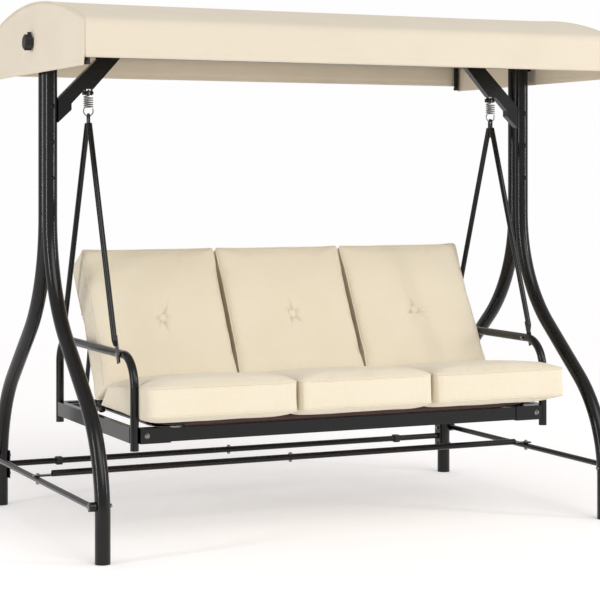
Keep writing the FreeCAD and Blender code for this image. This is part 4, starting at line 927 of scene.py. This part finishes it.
@dataclass
class BackCushion(Cushion):
    """Back part: an even box cushion with one tuft button."""

    button_up: float = 0.275
    tuft: float = 15 * MM
    lean_deg: float = 28.5
    low_end: float = 0.014
    high_end: float = 0.556
    rear_face: float = 0.017
    front_face: float = 0.115
    crown: float = 6 * MM
    widen: float = 8 * MM
    waist: float = 0.009
    corner: float = 9 * MM
    crease: float = 17 * MM
    crease_count: int = 5
    lip: float = 22 * MM
    tuft_width: float = 22 * MM
    tuft_slope: float = 4 * MM
    slope_width: float = 50 * MM
    fold_reach: float = 36 * MM
    reach_spread: float = 12 * MM
    fold_start: float = 8 * MM
    fold_half: float = 5 * MM
    ridge_half: float = 14 * MM
    ridge_share: float = 0.4
    button_radius: float = 18 * MM
    button_rise: float = 11 * MM
    button_lift: float = 6 * MM

    def place(self, u: Array, v: Array, w: Array) -> Array:
        """A box on the leaning backrest, with a crowned front and a soft top end."""
        u, v = round_corners(u, v, self.spans(), self.corner)
        x = self.run(u, 1 - self.waist * (1 - v ** 2), self.widen, 0.6)
        t, s = (v + 1) / 2, (w + 1) / 2
        up = self.low_end + (self.high_end - self.low_end) * t
        out = self.rear_face + (self.front_face - self.rear_face) * s
        out = out + self.crown * s * (1 - u ** 4) * (1 - v ** 4)
        out = out - self.lip * (0.25 + 0.75 * t) * (1 - s) * ease(outer_side(self.node, u), 0.95, 1.0)
        return on_backrest(x, up, out, self.lean_deg)

    def spans(self) -> Triple:
        """Length, height and thickness of the back cushion."""
        low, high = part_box(self.node)
        return (high.x - low.x, self.high_end - self.low_end, self.front_face - self.rear_face)

    def shape(self, points: Array, spots: Array) -> Array:
        """The dimple of the tuft and the folds that run out from it."""
        spans = self.spans()
        up = self.low_end + (spots[:, 1] + 1) / 2 * spans[1]
        dx, dy = spots[:, 0] * spans[0] / 2, up - self.button_up
        away = np.hypot(dx, dy)
        turn = np.arctan2(dy, dx)
        dimple = -self.tuft * np.exp(-(away / self.tuft_width) ** 2)
        dimple -= self.tuft_slope * np.exp(-away / self.slope_width)
        folds = np.zeros(len(points))
        for number in range(self.crease_count):
            aim = 2 * math.pi * (number + 0.35 * math.sin(self.seed + 2.1 * number)) / self.crease_count + 0.3
            run = np.maximum(away * np.cos(turn - aim), 0)
            off = away * np.sin(turn - aim)
            reach = self.fold_reach + self.reach_spread * math.sin(1.7 * self.seed + 2.3 * number)
            fade = np.exp(-(run / reach) ** 2) * (run / self.fold_start).clip(0, 1)
            ridge = self.ridge_share * np.exp(-(off / self.ridge_half) ** 2)
            folds += self.crease * fade * (ridge - np.exp(-(off / self.fold_half) ** 2))
        front = np.clip((spots[:, 2] - 0.9) * 10, 0, 1)
        return (dimple + folds) * front

    def button(self, cover: Piece) -> None:
        """A cloth-covered button with a domed face, seated in its dimple."""
        centre, height = np.array([middle_of(self.node).x]), np.array([self.button_up])
        aim = on_backrest(centre, height, np.array([self.front_face]), self.lean_deg)[0]
        points = read_points(cover)
        nearest = points[np.argmin(np.linalg.norm(points - aim, axis=1))]
        lean = math.radians(self.lean_deg)
        out = np.array((0, -math.cos(lean), math.sin(lean)))
        up = np.array((0, math.sin(lean), math.cos(lean)))
        seat = nearest + out * self.button_lift
        rings, around = 7, 32
        rows = []
        for i in range(rings):
            bend = math.pi / 2 * i / (rings - 1)
            r = self.button_radius * math.cos(bend) + 0.2 * MM
            for k in range(around):
                a = 2 * math.pi * k / around
                rows.append(seat + np.array((1, 0, 0)) * r * math.cos(a) + up * r * math.sin(a)
                            + out * (self.button_rise * math.sin(bend) - 1 * MM))
        faces = grid_faces(rings, around, wrap_columns=True)
        faces.append(tuple((rings - 1) * around + k for k in range(around)))
        faces.append(tuple(range(around))[::-1])
        piece = make_piece(self.name + "_button", np.array(rows), faces)
        fit_out(CUSHION_CLOTH, self.body, Cloth.CUSHION.value, piece)
        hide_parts("back_buttons")


def on_backrest(x: Array, up: Array, out: Array, lean_deg: float) -> Array:
    """Positions of points given along the bench, up the backrest's slope and out of its plane.

    Args:
        x: Places along the bench.
        up: Distances from the hinge, up the slope.
        out: Distances in front of the back tube's plane.
        lean_deg: Lean of the backrest from upright.

    Returns:
        One row of x, y, z for each point.
    """
    hinge = joint_place("back_recline")
    lean = math.radians(lean_deg)
    y = hinge[1] + up * math.sin(lean) - out * math.cos(lean)
    z = hinge[2] + up * math.cos(lean) + out * math.sin(lean)
    return np.stack([np.broadcast_to(x, y.shape), y, z], axis=1)


# ---- slings
@dataclass
class Slings:
    """The brown mesh under the seat cushions and behind the back cushions."""

    thickness: float = 1.2 * MM
    hem_back: float = 38 * MM
    lean_deg: float = 28.5
    seat_radius: float = 13 * MM
    seat_sag: float = 1.4 * MM
    back_radius: float = 12.2 * MM
    back_sag: float = 1.5 * MM
    back_run: Pair = (0.085, 0.44)
    rows: int = 60

    def seat(self) -> None:
        """Mesh over the seat tube: round its front run, flat to the rear bar and hemmed there."""
        low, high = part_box("seat_sling")
        level = (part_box("seat_frame")[0].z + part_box("seat_frame")[1].z) / 2
        radius = self.seat_radius
        front = low.y + radius + 1.3 * MM
        angles = np.radians(np.linspace(268, 92, 17))
        profile = [(front + self.hem_back, level - radius)]
        profile += [(front + radius * math.cos(a), level + radius * math.sin(a)) for a in angles]
        span = high.y - front
        for k in range(1, 25):
            t = k / 24
            sag = self.seat_sag * math.sin(math.pi * t)
            profile.append((front + span * t, level + radius + 0.2 * MM - sag))
        self.strip("seat_mesh", "seat_sling", "seat", low.x, high.x, profile, lambda x, a,
                   b: np.stack([x, a, b], axis=1))

    def back(self) -> None:
        """Mesh across the back tube, sewn into sleeves round its upright runs."""
        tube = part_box("back_frame")
        side = tube[1].x - 11 * MM
        radius = self.back_radius
        wrap = np.radians(np.linspace(-95, 88, 14))
        half = [(side - self.hem_back, -radius)]
        half += [(side + radius * math.cos(a), radius * math.sin(a)) for a in wrap]
        flat = [(side * (1 - k / 12),
                 radius - self.back_sag * math.sin(math.pi / 2 * k / 12)) for k in range(1, 12)]
        right = half + flat
        profile = right + [(0.0, radius - self.back_sag)] + [(-a, b) for a, b in reversed(right)]
        self.strip("back_mesh", "back_sling", "backrest", *self.back_run, profile,
                   lambda up, a, b: on_backrest(a, up, b, self.lean_deg))

    def strip(self, name: str, node: str, body: str, start: float, end: float, profile: Sequence[Pair],
              place: Callable[[Array, Array, Array], Array]) -> None:
        """Sweeps a profile along a straight run into one sheet of mesh cloth.

        Args:
            name: Name of the piece.
            node: Frame node that it stands for.
            body: Body that it moves with.
            start: Where the run begins.
            end: Where the run ends.
            profile: Points across the sheet.
            place: Turns a place on the run and the two profile numbers into positions.
        """
        across = np.array(profile)
        rows = []
        for run in np.linspace(start, end, self.rows):
            rows.append(place(np.full(len(across), run), across[:, 0], across[:, 1]))
        piece = make_piece(name, np.vstack(rows), grid_faces(self.rows, len(across)))
        thick = piece.modifiers.new("thickness", "SOLIDIFY")
        thick.thickness = self.thickness
        thick.offset = 0.0
        fit_out(BROWN_MESH, body, "sling_mesh", piece)
        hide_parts(node)

    def build(self) -> None:
        """Makes both slings."""
        self.seat()
        self.back()


# ---- canopy
@dataclass
class CanopyCover:
    """The fabric roof as one sheet: front valance, arched top, rear valance and two end panels."""

    corner: float = 30 * MM
    hem: float = 16 * MM
    hem_rise: float = 1.1 * MM
    sag: float = 5 * MM
    along: int = 170
    panel_rows: int = 18
    thickness: float = 1.0 * MM
    front_hem: float = 1.5665
    rear_hem: float = 1.562
    eave: float = 1.686
    inset: float = 1.0 * MM
    pivot_gap: float = 12 * MM
    end_from: float = 0.9
    seam_radius: float = 2 * MM
    hem_radius: float = 1 * MM
    eave_blend: float = 20 * MM
    hang_run: float = 0.1
    waves: tuple = ((17.0, 0.6, 0.6), (41.0, 1.1, 0.4))
    wave_depth: float = 1.8 * MM
    draw_in: float = 1.5 * MM
    belly: float = 1.2 * MM
    flutter: float = 0.9 * MM

    def profile(self) -> Array:
        """Outline across the canopy, from the front hem over the top to the rear hem, as (y, z) rows."""
        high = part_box("canopy_cover")[1]
        reach = high.y - self.inset
        crown = high.z - self.inset
        rise = crown - self.eave
        radius = (reach ** 2 + rise ** 2) / (2 * rise)
        slope = math.asin(reach / radius)
        turn = math.pi / 2 - slope
        cut = self.corner * math.tan(turn / 2)
        rises = (0, self.hem / 2, self.hem, self.hem + 3 * MM)
        front = [(-reach, self.front_hem + rise) for rise in rises]
        top_of_wall = self.eave - cut
        front += [(-reach, z) for z in np.linspace(self.front_hem + 0.03, top_of_wall, 8)]
        bend = [(-reach + self.corner * (1 - math.cos(a)), top_of_wall + self.corner * math.sin(a))
                for a in np.linspace(0, turn, 7)[1:]]
        start = bend[-1][0]
        arch = [(y, crown - radius + math.sqrt(radius ** 2 - y ** 2)) for y in np.linspace(start, 0, 44)[1:]]
        half = front + bend + arch
        other = [(-y, z) for y, z in reversed(half[:-1])]
        shift = self.rear_hem - self.front_hem
        wall = top_of_wall - self.front_hem
        other = [(y, z + shift * max(0.0, (top_of_wall - z) / wall)) for y, z in other]
        return np.array(half + other)

    def main_panel(self, profile: Array) -> Array:
        """Rows of the top and both valances along the canopy, sagging a little between the rails."""
        low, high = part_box("canopy_cover")
        reach = abs(profile[0][0])
        rows = []
        for x in np.linspace(low.x + self.inset, high.x - self.inset, self.along):
            y, z = profile[:, 0].copy(), profile[:, 1].copy()
            u = 2 * (x - low.x) / (high.x - low.x) - 1
            on_top = np.clip((z - self.eave) / self.eave_blend, 0, 1)
            between = np.sin(math.pi * np.abs(y) / reach) ** 2 * (1 - abs(u) ** 6)
            z = z - self.sag * on_top * between
            hang = np.clip((self.eave - self.eave_blend - z) / self.hang_run, 0, 1) * (1 - abs(u) ** 10)
            wave = sum(share * math.sin(pitch * x + phase) for pitch, phase, share in self.waves)
            y = y + np.sign(y) * (self.wave_depth * wave * hang - self.draw_in * hang)
            in_hem = (z < np.where(y < 0, self.front_hem, self.rear_hem) + self.hem + 1 * MM)
            y = y + np.sign(y) * self.hem_rise * in_hem
            rows.append(np.stack([np.full(len(y), x), y, z], axis=1))
        return np.vstack(rows)

    def panel_points(self, border: Array, sign: int, level: Array) -> Array:
        """Points of an end panel, one below each border point.

        Args:
            border: Edge of the main panel that the end panel is sewn to.
            sign: -1 for the left end and 1 for the right.
            level: How far down each point lies, from 0 at the seam to 1 at the hem.

        Returns:
            One position for each border point.
        """
        low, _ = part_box("canopy_cover")
        steps = np.linalg.norm(np.diff(border, axis=0), axis=1)
        share = np.concatenate([[0], np.cumsum(steps)]) / steps.sum()
        reach = abs(border[0][1])
        y = border[:, 1] * (1 - level) + (-reach + 2 * reach * share) * level
        z = border[:, 2] * (1 - level) + low.z * level
        belly = self.belly * np.sin(math.pi * np.minimum(level, 0.9)) * (1 - (y / reach) ** 4)
        flutter = self.flutter * np.sin(16 * y + sign) * level * (1 - (y / reach) ** 8)
        in_hem = z < low.z + self.hem
        x = border[:, 0] + sign * (belly + flutter + self.hem_rise * in_hem - self.inset)
        return np.stack([x, y, z], axis=1)

    def end_panel(self, border: Array, sign: int) -> Array:
        """Rows of one end panel below its arched seam, down to its straight hem."""
        levels = np.linspace(0, 1, self.panel_rows)[1:]
        rows = [self.panel_points(border, sign, np.full(len(border), level)) for level in levels]
        return np.vstack(rows)

    def hem_line(self, border: Array, sign: int) -> Array:
        """The stitched line of the hem across an end panel."""
        low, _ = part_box("canopy_cover")
        goal = low.z + self.hem
        inside = border[np.abs(border[:, 1]) < abs(border[0][1]) - 1 * MM]
        line = self.panel_points(inside, sign, (inside[:, 2] - goal) / (inside[:, 2] - low.z))
        return line + np.array((sign * 0.9 * MM, 0, 0))

    def with_holes(self, points: Array, faces: list[tuple[int, ...]]) -> Piece:
        """The sheet with an opening for each pivot bolt."""
        pivot = joint_place("canopy_tilt")
        away = np.hypot(points[:, 1] - pivot[1], points[:, 2] - pivot[2])
        near = (np.abs(points[:, 0]) > self.end_from) & (away < self.pivot_gap)
        kept = [tuple(int(i) for i in face) for face in faces if not any(near[list(face)])]
        used = sorted({i for face in kept for i in face})
        renumber = {old: new for new, old in enumerate(used)}
        return make_piece("canopy_sheet", points[used],
                          [tuple(renumber[i] for i in face) for face in kept])

    def build(self) -> None:
        """Makes the sheet, its edge bindings and seams and hangs them on the canopy."""
        profile = self.profile()
        columns = len(profile)
        points = self.main_panel(profile)
        faces = grid_faces(self.along, columns)
        left_edge = np.arange(columns)
        right_edge = np.arange((self.along - 1) * columns, self.along * columns)
        seams, hems = [], []
        for sign, edge in ((-1, left_edge), (1, right_edge)):
            border = points[edge]
            base = len(points)
            lower = self.end_panel(border, sign)
            points = np.vstack([points, lower])
            ring = np.vstack([edge[None, :], np.arange(base, base + len(lower)).reshape(-1, columns)])
            for i in range(len(ring) - 1):
                for j in range(columns - 1):
                    face = (ring[i][j], ring[i][j + 1], ring[i + 1][j + 1], ring[i + 1][j])
                    faces.append(face if sign > 0 else face[::-1])
            seams.append(border + np.array((sign * 0.4 * MM, 0, 0)))
            hems.append(self.hem_line(border, sign))
        cover = self.with_holes(points, faces)
        thick = cover.modifiers.new("thickness", "SOLIDIFY")
        thick.thickness = self.thickness
        thick.offset = -1.0
        extras = []
        for number, seam in enumerate(seams):
            extras.append(wire("canopy_seam_%s" % SIDES[number], seam, self.seam_radius, sides=8))
            extras.append(wire("canopy_hem_%s" % SIDES[number], hems[number], self.hem_radius, sides=6))
        fit_out(CANOPY_CLOTH, "canopy", Cloth.CANOPY.value, cover, *extras)
        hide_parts("canopy_cover")


# ---- assembly
def main() -> None:
    """Builds the studio, dresses the frame and makes the soft parts."""
    logging.basicConfig(level=logging.INFO, format="%(name)s: %(message)s")
    Studio().build()
    Hardware().dress()
    for side in SIDES:
        HangerSpring(side).build()
    Slings().build()
    for number, seat in enumerate(SEATS):
        SeatCushion("seat_pad_" + seat, "seat_cushion_" + seat, "seat", seed=1.3 + 5 * number).build()
        back = BackCushion("back_pad_" + seat, "back_cushion_" + seat, "backrest", seed=3.1 + 4 * number)
        back.button(back.build())
    CanopyCover().build()
    sizes = [[list(corner) for corner in bounds] for bounds in (CAD_BOUNDS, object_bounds())]


if __name__ == "__main__":
    main()
